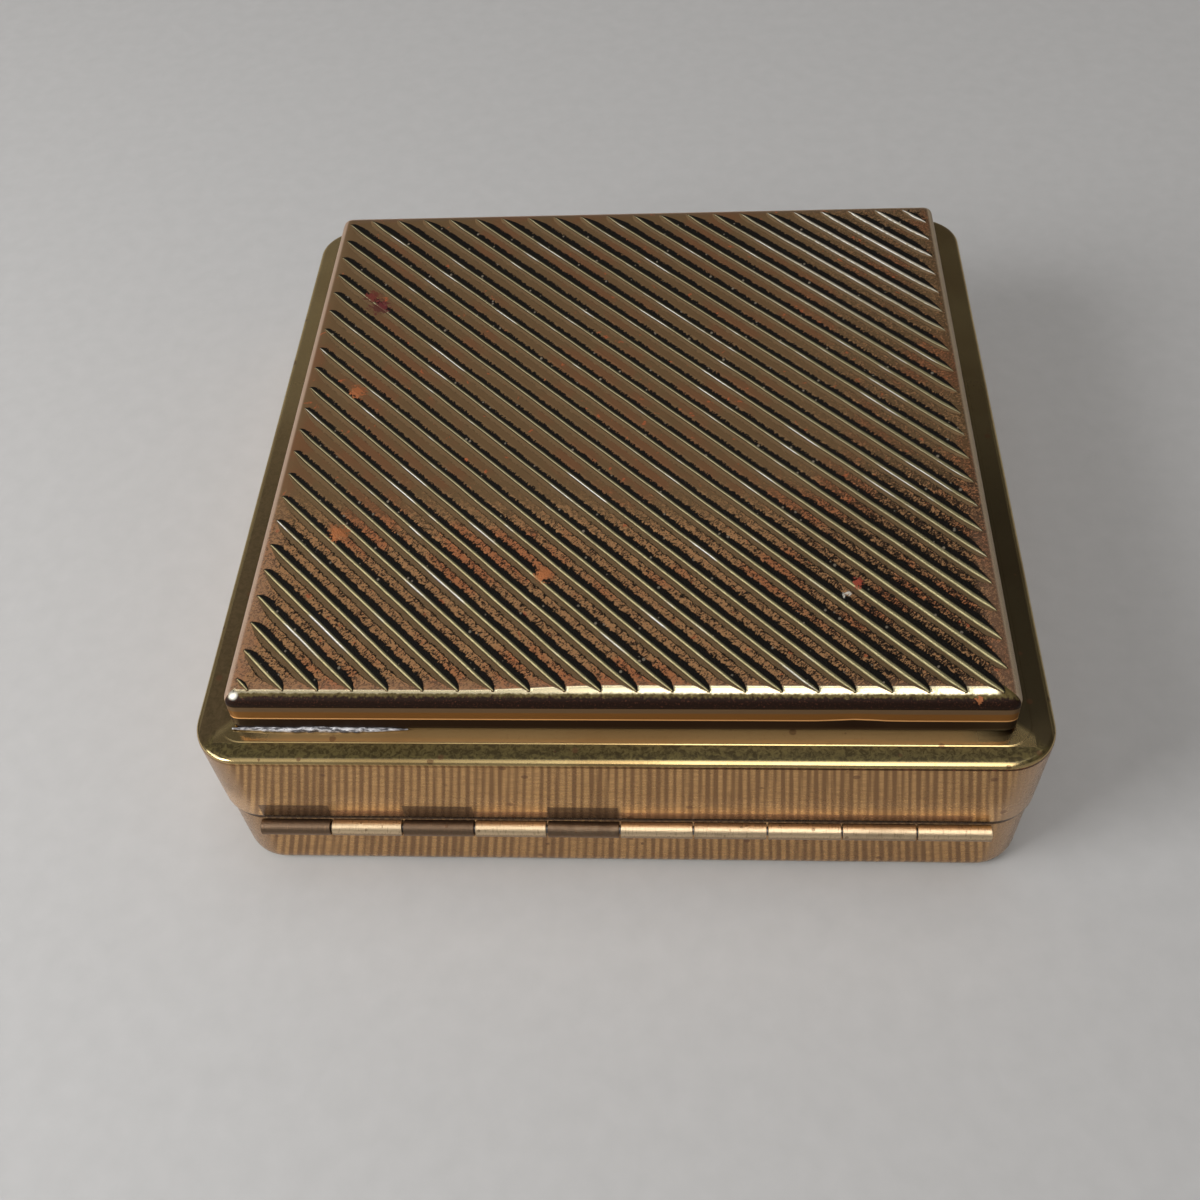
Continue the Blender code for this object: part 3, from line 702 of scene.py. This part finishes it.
def finished(name, bm, material):
    bmesh.ops.recalc_face_normals(bm, faces=bm.faces)
    mesh = bpy.data.meshes.new(name)
    bm.to_mesh(mesh)
    bm.free()
    mesh.materials.append(material)
    mesh.shade_smooth()
    return add_object(name, mesh)


def add_object(name, data):
    made = bpy.data.objects.new(name, data)
    bpy.context.scene.collection.objects.link(made)
    return made


def waved(point, out):
    """A wall point moved in or out a little, as hand-finished sheet is."""
    wave = noise.noise(point / WALL_WAVE_LENGTH) + 0.4 * noise.noise(point / (WALL_WAVE_LENGTH * 0.37))
    return point + out * wave * WALL_WAVE


def pressed_pan(name, half, corner, path, material):
    """A pressed square pan: its section path runs from the middle to the rim and back."""
    rings = []
    for spot in spaced(path, RING_SPACING):
        ring = square_ring(half - spot.x, max(corner - spot.x, 0.3 * MM), spot.y)
        if spot.x < SHEET / 2:
            ring = [waved(p, Vector((p.x, p.y, 0.0)).normalized()) for p in ring]
        rings.append(ring)
    return loft(name, rings, material)


def make_base_pan(brass):
    centre = base_half * 0.6
    corners = [
        (centre, base_low.z + SHEET, 0, 0),
        (SHEET, base_low.z + SHEET, INNER_ROUND, INNER_ROUND),
        (SHEET, base_high.z, 0.1 * MM, 0.1 * MM),
        (0.0, base_high.z, RIM_ROUND, RIM_ROUND),
        (0.0, base_low.z, BOTTOM_ROUND, BOTTOM_ROUND),
        (centre, base_low.z, 0, 0),
    ]
    corner = LID_CORNER - (lid_half - base_half)
    pan = pressed_pan("brass_base_pan", base_half, corner, outline(corners), brass)
    dress(pan, "base", "brass", "base_pan")


def make_lid_shell(brass):
    centre = lid_half * 0.6
    corners = [
        (centre, lid_high.z - SHEET, 0, 0),
        (SHEET, lid_high.z - SHEET, INNER_ROUND, INNER_ROUND),
        (SHEET, lid_low.z, 0.1 * MM, 0.1 * MM),
        (0.0, lid_low.z, RIM_ROUND, RIM_ROUND),
        (0.0, lid_high.z - LEDGE_STEP, SHOULDER_DROP, SHOULDER_REACH),
        (LEDGE_LINE, lid_high.z - LEDGE_STEP, 0.03 * MM, 0.03 * MM),
        (LEDGE_LINE + 0.08 * MM, lid_high.z, 0.05 * MM, 0.05 * MM),
        (centre, lid_high.z, 0, 0),
    ]
    shell = pressed_pan("brass_lid_shell", lid_half, LID_CORNER, outline(corners, 12), brass)
    dress(shell, "lid", "brass", "lid_shell")


def dress(piece, body, slot, *nodes):
    """Rides a piece on its body, in place of the CAD nodes it stands for."""
    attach(piece, body)
    if nodes:
        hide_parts(*nodes)


def groove_profile(side):
    """Depth share across a groove: 1 in the valley, 0 at its edges and beyond."""
    reach = min(1.0, abs(side))
    top = math.hypot(1.0, VALLEY_ROUND) - VALLEY_ROUND
    return 1.0 - (math.hypot(reach, VALLEY_ROUND) - VALLEY_ROUND) / top


def edge_drop(x, y):
    """How far the plate's top has curved down near its sides, and how near a point is to the side."""
    start = plate_half - SKIRT_LEAN - PILLOW_REACH
    over_x = max(abs(x) - start, 0.0) / PILLOW_REACH
    over_y = max(abs(y) - start, 0.0) / PILLOW_REACH
    share = min(1.0, (over_x ** 4 + over_y ** 4) ** (1 / 4))
    inset = PILLOW_REACH * (1.0 - share)
    if inset > ROUND_START:
        return math.tan(PILLOW_SLOPE) * (PILLOW_REACH * share) ** 2 / (2 * PILLOW_RUN), share
    sine = 1.0 - inset / EDGE_ROUND
    return PILLOW_DROP + EDGE_ROUND * (math.cos(PILLOW_SLOPE) - math.sqrt(1.0 - sine * sine)), share


class GroovedTop:
    """The plate's grooved field as lines of points that run along the grooves."""

    def __init__(self, bm):
        self.bm = bm
        self.reach = (plate_half - GROOVE_MARGIN) * math.sqrt(2)
        self.share = bm.verts.layers.float.new("reach")
        self.lean = bm.verts.layers.float.new("lean")
        self.lines = []
        self.offsets = []

    def stations(self, reach):
        """Distances from a line's end to its middle, close together near the groove's tip."""
        ends = GROOVE_TAPER * 1.1 * min(1.0, reach / (2.2 * GROOVE_TAPER))
        close = [ends * (step / END_STATIONS) ** 1.3 for step in range(END_STATIONS)]
        wide = [ends + (reach - ends) * step / MIDDLE_STATIONS for step in range(MIDDLE_STATIONS + 1)]
        return close + wide

    def add_vert(self, along, across, depth, lean, share):
        x = (across + along) / math.sqrt(2)
        y = (across - along) / math.sqrt(2)
        vert = self.bm.verts.new((x, y, plate_high.z - edge_drop(x, y)[0] - depth * GROOVE_DEPTH))
        vert[self.share] = share
        vert[self.lean] = lean
        return vert

    def add_plain_vert(self, place):
        """A point of the plain border or side, away from any groove."""
        vert = self.bm.verts.new(place)
        vert[self.share] = LAND_REACH
        return vert

    def add_line(self, middle, side):
        """One line of a groove, at side of its valley, or a land's middle where side is None."""
        half_length = self.reach - abs(middle)
        fullest = min(1.0, math.sqrt(half_length / GROOVE_TAPER))
        width = 0.0 if side is None else side * GROOVE_HALF_WIDTH
        reach = self.reach - abs(middle + width * TIP_WIDTH)
        halves = {-1: [], 1: []}
        for end in (-1, 1):
            for distance in self.stations(reach):
                open_share = 1.0 - (1.0 - min(1.0, distance / GROOVE_TAPER)) ** 2
                fullness = fullest * open_share
                across = middle + width * (TIP_WIDTH + (1.0 - TIP_WIDTH) * fullness)
                along = end * max(0.0, self.reach - abs(across) - distance)
                wobble = noise.noise(Vector((along / (4 * MM), middle / (1 * MM), 0.0)))
                across += 0.035 * MM * wobble * fullness if side is not None else 0.0
                depth, lean, share = 0.0, 0.0, LAND_REACH
                if side is not None:
                    narrow = TIP_WIDTH + (1.0 - TIP_WIDTH) * fullness
                    depth = groove_profile(side) * fullness * (1.0 + 0.08 * wobble)
                    lean = -math.copysign(1.0, side) if abs(side) > 0.03 else 0.0
                    share = abs(side) * (0.4 + 0.6 * narrow) if abs(side) < 1.03 else LAND_REACH * 0.85
                halves[end].append(self.add_vert(along, across, depth, lean, share))
        middle_vert = halves[1][-1]
        self.bm.verts.remove(halves[-1][-1])
        self.lines.append(halves[-1][:-1] + [middle_vert] + halves[1][-2::-1])
        self.offsets.append(middle + width * TIP_WIDTH)

    def add_lines(self):
        step = GROOVE_STEP / math.sqrt(2)
        shift = GROOVE_SHIFT / math.sqrt(2)
        valleys = [(index + 0.5) * step + shift for index in range(-GROOVE_COUNT // 2, GROOVE_COUNT // 2)]
        valleys = [valley for valley in valleys if abs(valley) < self.reach - 0.5 * MM]
        for valley in valleys:
            if valley > valleys[0]:
                self.add_line(valley - step / 2, None)
            for side in ACROSS:
                self.add_line(valley, side)
        for first, second in zip(self.lines, self.lines[1:]):
            for index in range(len(first) - 1):
                self.bm.faces.new((first[index], first[index + 1], second[index + 1], second[index]))

    def rim(self):
        """The field's outermost points in order, each with the direction outward, fanned at corners."""
        middle = next(index for index, offset in enumerate(self.offsets) if offset > 0.0)
        tips = ((0.0, self.reach), (0.0, -self.reach), (self.reach, 0.0), (-self.reach, 0.0))
        near, far, plus, minus = [self.add_vert(*tip, 0.0, 0.0, LAND_REACH) for tip in tips]
        for line, tip in ((self.lines[-1], near), (self.lines[0], far)):
            for index in range(len(line) - 1):
                self.bm.faces.new((line[index], line[index + 1], tip))
        above, below = self.lines[middle:], self.lines[:middle]
        self.bm.faces.new((below[-1][-1], plus, above[0][-1]))
        self.bm.faces.new((below[-1][0], minus, above[0][0]))
        sides = [
            (plus, [line[-1] for line in above], -90),
            (near, [line[0] for line in reversed(above)], 0),
            (minus, [line[0] for line in reversed(below)], 90),
            (far, [line[-1] for line in below], 180),
        ]
        rim = []
        for corner, straight, turn in sides:
            for step in range(CORNER_FAN + 1):
                rim.append((corner, heading(math.radians(turn + 90 * step / CORNER_FAN))))
            rim += [(vert, heading(math.radians(turn + 90))) for vert in straight]
        return rim


def outward_reach(spot, direction):
    """Distance from a point of the plate's field to the plate's side, along a direction."""
    low, high = 0.0, 2 * GROOVE_MARGIN
    for _ in range(24):
        middle = (low + high) / 2
        test = spot + direction * middle
        if edge_drop(test.x, test.y)[1] < 1.0:
            low = middle
        else:
            high = middle
    return low


def dented(point):
    """The near skirt's shallow dent."""
    away = point - Vector((DENT_X, plate_half, plate_low.z + DENT_RISE))
    near = math.exp(-(away.x / DENT_WIDTH) ** 2 - (away.z / DENT_HEIGHT) ** 2)
    return point - Vector((0.0, DENT_DEPTH * near, 0.0)) if point.y > plate_half * 0.98 else point


def make_grooved_plate(brass):
    bm = bmesh.new()
    top = GroovedTop(bm)
    top.add_lines()
    rim = top.rim()
    starts = [(Vector(vert.co.xy), direction) for vert, direction in rim]
    reaches = [outward_reach(spot, direction) for spot, direction in starts]
    rows = [[vert for vert, _ in rim]]
    margin = GROOVE_MARGIN - SKIRT_LEAN
    insets = [margin + (ROUND_START - margin) * step / 4 for step in range(1, 5)]
    turns = [PILLOW_SLOPE + (math.radians(90) - PILLOW_SLOPE) * step / 10 for step in range(1, 11)]
    insets += [EDGE_ROUND * (1.0 - math.sin(turn)) for turn in turns]
    for inset in insets:
        row = []
        for (spot, direction), reach in zip(starts, reaches):
            place = spot + direction * reach * (1.0 - inset / margin)
            drop = EDGE_DROP if inset == insets[-1] else edge_drop(place.x, place.y)[0]
            row.append(top.add_plain_vert((place.x, place.y, plate_high.z - drop)))
        rows.append(row)
    side_top = plate_high.z - EDGE_DROP
    foot = plate_low.z + 0.15 * MM
    heights = [side_top + (foot - side_top) * step / 9 for step in range(1, 10)]
    insets = [-SKIRT_LEAN * step / 9 for step in range(1, 10)]
    heights += [plate_low.z + 0.04 * MM, plate_low.z, plate_low.z, plate_high.z - PLATE_SHEET - 0.6 * MM]
    insets += [inset - SKIRT_LEAN for inset in (0.05 * MM, 0.2 * MM, PLATE_SHEET, PLATE_SHEET)]
    for height, inset in zip(heights, insets):
        row = []
        for (spot, direction), reach in zip(starts, reaches):
            place = spot + direction * (reach - inset)
            row.append(top.add_plain_vert(dented(Vector((place.x, place.y, height)))))
        rows.append(row)
    for first, second in zip(rows, rows[1:]):
        for index in range(len(first)):
            onward = (index + 1) % len(first)
            corners = [first[index], first[onward], second[onward], second[index]]
            corners = list(dict.fromkeys(corners))
            bm.faces.new(corners)
    bm.faces.new(rows[-1])
    plate = finished("grooved_lid_plate", bm, brass)
    dress(plate, "lid", "plate_brass", "grooved_plate")


def make_tubes(brass):
    """The ten hinge tubes, each where its solid is."""
    for owner, levels in TUBE_TARNISH.items():
        for number, tarnish in enumerate(levels, start=1):
            node = f"{owner}_knuckle_{number}"
            low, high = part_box(node)
            middle = (low + high) / 2
            length = high.x - low.x
            chamfer = 0.05 * MM
            section = [
                (-length / 2, TUBE_BORE), (-length / 2, TUBE_RADIUS - chamfer),
                (-length / 2 + chamfer, TUBE_RADIUS), (length / 2 - chamfer, TUBE_RADIUS),
                (length / 2, TUBE_RADIUS - chamfer), (length / 2, TUBE_BORE),
            ]
            section = [Vector(point) for point in section]
            rings = []
            for spot in spaced(section, 0.6 * MM):
                ring = []
                for step in range(TUBE_STEPS):
                    angle = math.tau * step / TUBE_STEPS
                    ring.append(middle + Vector((spot.x, spot.y * math.cos(angle), spot.y * math.sin(angle))))
                rings.append(ring)
            tube = loft(f"hinge_tube_{owner}_{number}", rings, brass, closed=True)
            layer = tube.data.attributes.new("tarnish", "FLOAT", "POINT")
            layer.data.foreach_set("value", [tarnish] * len(tube.data.vertices))
            tube.data.set_sharp_from_angle(angle=math.radians(40))
            dress(tube, owner, "tube_brass", node)


def make_catch_spring(steel):
    """The bowed leaf behind the bolt, built in its bowed shape; the real leaf flattens against the catch
    cover when the button goes in.
    """
    low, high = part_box("catch_spring")
    middle = (low.z + high.z) / 2
    rings = []
    for step in range(LEAF_STEPS + 1):
        along = 2 * step / LEAF_STEPS - 1
        front = low.y + (high.y - low.y - LEAF_SHEET) * along ** 2
        half = (high.z - middle) * (1.0 - 0.22 * along ** 6)
        shallow, tall = LEAF_EDGE, half - LEAF_EDGE
        section = [(0.0, -tall), (0.0, tall), (shallow, half), (LEAF_SHEET - shallow, half)]
        section += [(LEAF_SHEET, tall), (LEAF_SHEET, -tall), (LEAF_SHEET - shallow, -half), (shallow, -half)]
        rings.append([Vector((along * high.x, front + y, middle + z)) for y, z in section])
    spring = loft("bowed_leaf_spring", rings, steel)
    spring.data.set_sharp_from_angle(angle=math.radians(40))
    dress(spring, "base", "spring_steel", "catch_spring")
    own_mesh(spring)


def make_solder_bead(solder):
    """The uneven grey-white line in the gap between the plate's foot and the ledge, near left."""
    start, end = 34.4 * MM, 18.5 * MM
    count = 110
    rings = []
    for step in range(count + 1):
        share = step / count
        x = start + (end - start) * share
        swell = math.sin(math.pi * (0.03 + 0.96 * share)) ** 0.8
        rough = noise.noise(Vector((x / (0.6 * MM), 3.1, 0.0)))
        rough += 0.6 * noise.noise(Vector((x / (2.2 * MM), 7.7, 0.0)))
        tall = (0.02 + 0.27 * swell * (1.0 + 0.7 * rough)) * MM
        deep = (0.04 + 0.30 * swell * (1.0 - 0.5 * rough)) * MM
        ring = []
        for spoke in range(10):
            angle = math.tau * spoke / 10
            y = plate_half + 0.02 * MM + deep * math.cos(angle)
            z = lid_high.z + 0.18 * MM + tall * math.sin(angle)
            ring.append(Vector((x, y, z)))
        rings.append(ring)
    bead = loft("solder_line", rings, solder)
    dress(bead, "lid", None)


def make_floor_pad(velvet):
    """The thin stuffed pad on the floor of the base, swelled by a short cloth run."""
    size = pad_high - pad_low
    cells = 44
    margin = 0.25 * MM
    bm = bmesh.new()
    bmesh.ops.create_grid(bm, x_segments=cells, y_segments=cells, size=0.5)
    half_x = size.x / 2 - margin
    half_y = size.y / 2 - margin
    corner = 2.4 * MM
    top = pad_high.z - 0.7 * MM
    low = pad_low.z + 0.1 * MM
    for vert in bm.verts:
        x, y = vert.co.x * 2 * half_x, vert.co.y * 2 * half_y
        over_x, over_y = max(abs(x) - half_x + corner, 0), max(abs(y) - half_y + corner, 0)
        over = math.hypot(over_x, over_y)
        if over > corner:
            x -= math.copysign(over_x * (1 - corner / over), x)
            y -= math.copysign(over_y * (1 - corner / over), y)
        vert.co = Vector((x, y, top))
    made = bmesh.ops.extrude_face_region(bm, geom=list(bm.faces))
    for vert in [item for item in made["geom"] if isinstance(item, bmesh.types.BMVert)]:
        vert.co.z = low
    pad = finished("velvet_floor_pad", bm, velvet)
    swell(pad, cap=0.5 * MM, floor=low)
    smooth = pad.modifiers.new("smooth", "SUBSURF")
    smooth.levels = 1
    smooth.render_levels = 1
    dress(pad, "base", "velvet", "floor_pad")


def swell(pad, cap, floor):
    """Puffs a pad up with a cloth run, keeping each point within cap of where it was."""
    rest = np.empty(len(pad.data.vertices) * 3, np.float32)
    pad.data.vertices.foreach_get("co", rest)
    rest = rest.reshape(-1, 3)
    cloth = pad.modifiers.new("swell", "CLOTH")
    settings = cloth.settings
    settings.quality = 4
    settings.mass = 0.05
    settings.use_pressure = True
    settings.uniform_pressure_force = 4.0
    settings.effector_weights.gravity = 0.0
    settings.tension_stiffness = 6.0
    settings.compression_stiffness = 6.0
    settings.bending_stiffness = 0.05
    scene = bpy.context.scene
    cloth.point_cache.frame_start = 1
    cloth.point_cache.frame_end = 20
    for moment in range(1, 21):
        scene.frame_set(moment)
    evaluated = pad.evaluated_get(bpy.context.evaluated_depsgraph_get())
    moved = np.empty(len(rest) * 3, np.float32)
    evaluated.data.vertices.foreach_get("co", moved)
    pad.modifiers.remove(cloth)
    scene.frame_set(1)
    shift = moved.reshape(-1, 3) - rest
    length = np.maximum(np.linalg.norm(shift, axis=1, keepdims=True), 1e-9)
    placed = rest + shift * np.minimum(1.0, cap / length)
    placed[:, 2] = np.maximum(placed[:, 2], floor - 0.05 * MM)
    pad.data.vertices.foreach_set("co", placed.astype(np.float32).ravel())
    pad.data.update()


def make_side_lining(velvet):
    """The velvet band round the inside of the collar, cut away at the catch."""
    outer = lining_high.x
    thick = 0.9 * MM
    corner = 2.3 * MM
    corners = [
        (0.0, lining_low.z, 0.05 * MM, 0.05 * MM),
        (0.0, lining_high.z, 0.3 * MM, 0.3 * MM),
        (thick, lining_high.z, 0.45 * MM, 0.45 * MM),
        (thick, lining_low.z, 0.05 * MM, 0.05 * MM),
    ]
    path = outline([corners[-1], *corners, corners[0]])[1:-1]
    rings = [square_ring(outer - p.x, max(corner - p.x, 0.3 * MM), p.y) for p in spaced(path, 0.6 * MM)]
    band = loft("velvet_side_lining", rings, velvet, closed=True)
    cutter = catch_cutter()
    cut = band.modifiers.new("catch", "BOOLEAN")
    cut.operation = "DIFFERENCE"
    cut.solver = "EXACT"
    cut.object = cutter
    apply_modifiers(band)
    bpy.data.objects.remove(cutter)
    dress(band, "base", "velvet", "side_lining")


def catch_cutter():
    """A block round the catch cover, a little wider than it."""
    low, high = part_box("catch_cover")
    bm = bmesh.new()
    bmesh.ops.create_cube(bm, size=1.0)
    size = Vector((high.x - low.x + 0.6 * MM, 6 * MM, 20 * MM))
    bmesh.ops.scale(bm, vec=size, verts=bm.verts)
    centre = Vector(((low.x + high.x) / 2, low.y, low.z - 0.3 * MM + size.z / 2))
    bmesh.ops.translate(bm, vec=centre, verts=bm.verts)
    mesh = bpy.data.meshes.new("catch_cutter")
    bm.to_mesh(mesh)
    bm.free()
    return add_object("catch_cutter", mesh)


def apply_modifiers(piece):
    """Keeps a piece's shape as its modifiers leave it, with none left."""
    bpy.context.view_layer.update()
    shape = piece.evaluated_get(bpy.context.evaluated_depsgraph_get())
    mesh = bpy.data.meshes.new_from_object(shape)
    piece.modifiers.clear()
    piece.data = mesh


def finish_cad_nodes(finishes):
    """Gives each CAD piece that stays its finish and softly rounded edges."""
    kept = {
        "base_collar": ("brass", 0.06), "catch_cover": ("brass", 0.08), "keeper": ("brass", 0.06),
        "push_button": ("brass", 0.10), "catch_bolt": ("brass", 0.06), "mirror_frame": ("brass", 0.10),
        "hinge_pin": ("spring_steel", 0.05),
        "mirror_backing": ("card", 0.10), "mirror_glass": ("mirror_glass", 0.12),
    }
    for name, (slot, width) in kept.items():
        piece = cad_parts[name]
        piece.data.materials.clear()
        piece.data.materials.append(finishes[slot])
        rounding = piece.modifiers.new("rounded edges", "BEVEL")
        rounding.width = width * MM
        rounding.segments = 2
        rounding.limit_method = "ANGLE"
        rounding.angle_limit = math.radians(40)
        rounding.harden_normals = True


def make_floor():
    bm = bmesh.new()
    bmesh.ops.create_grid(bm, x_segments=1, y_segments=1, size=3.0)
    floor = finished("ground", bm, make_floor_finish())
    floor.location.z = base_low.z - 0.02 * MM


def add_softbox(name, direction, distance, width, height, radiance):
    """A square lamp that looks at the box from a direction; radiance is how bright its face is."""
    lamp = bpy.data.lights.new(name, "AREA")
    lamp.shape = "RECTANGLE"
    lamp.size = width
    lamp.size_y = height
    lamp.energy = radiance * math.pi * width * height
    holder = add_object(name, lamp)
    holder.location = Vector(direction).normalized() * distance
    holder.rotation_euler = Vector(direction).to_track_quat("Z", "Y").to_euler()


def make_lights():
    add_softbox("window", (0.74, 0.39, 0.55), distance=0.42, width=0.20, height=0.20, radiance=12.0)
    world = bpy.data.worlds.new("soft room")
    world.use_nodes = True
    bpy.context.scene.world = world
    graph = Graph(world.node_tree)
    direction = graph.node("TexCoord", {}, {}, "Generated")
    sideways, hingeward, height = graph.axes(direction)
    far_wall = graph.band(-hingeward, 0.3, 0.8) * graph.fade(height, 0.12, 0.5)
    left_wall = graph.band(graph.facing(direction, (0.50, -0.72, 0.48)), 0.86, 0.97)
    near_wall = graph.band(hingeward, 0.2, 0.5) * graph.fade(height, 0.55, 0.75)
    overhead = graph.band(graph.facing(direction, (0.0, 0.891, 0.454)), 0.0, 0.06)
    overhead = overhead * graph.band(graph.facing(direction, (0.0, -0.707, 0.707)), 0.0, 0.12)
    skylight = graph.band(sideways, -0.32, -0.26) * graph.fade(sideways, 0.03, 0.08) * overhead
    ceiling = graph.band(sideways, 0.03, 0.08) * graph.fade(sideways, 0.35, 0.55) * overhead
    brightness = 0.05 + 0.30 * far_wall + 0.12 * left_wall + 0.25 * near_wall
    brightness = brightness + 3.2 * skylight + 0.6 * ceiling
    background = world.node_tree.nodes["Background"]
    world.node_tree.links.new(brightness.socket, background.inputs["Strength"])
    background.inputs["Color"].default_value = (1.0, 0.98, 0.96, 1.0)


def make_camera():
    lens = bpy.data.cameras.new("camera")
    lens.lens = CAMERA_LENS
    lens.sensor_width = 36.0
    lens.clip_start = 0.005
    lens.clip_end = 20.0
    camera = add_object("camera", lens)
    camera.location = CAMERA_PLACE
    turn = CAMERA_FORWARD.to_track_quat("-Z", "Y")
    roll = Euler((0.0, 0.0, CAMERA_ROLL)).to_quaternion()
    camera.rotation_euler = (turn @ roll).to_euler()
    bpy.context.scene.camera = camera


def main():
    bpy.context.scene.view_settings.view_transform = "Standard"
    make_camera()
    finishes = {
        "brass": make_case_brass(),
        "plate_brass": make_plate_brass(),
        "tube_brass": make_tube_brass(),
        "spring_steel": make_spring_steel(),
        "velvet": make_velvet(),
        "card": make_card(),
        "mirror_glass": make_mirror_silver(),
    }
    make_base_pan(finishes["brass"])
    make_lid_shell(finishes["brass"])
    make_grooved_plate(finishes["plate_brass"])
    make_tubes(finishes["tube_brass"])
    make_catch_spring(finishes["spring_steel"])
    make_solder_bead(make_solder())
    make_floor_pad(finishes["velvet"])
    make_side_lining(finishes["velvet"])
    finish_cad_nodes(finishes)
    make_floor()
    make_lights()


main()
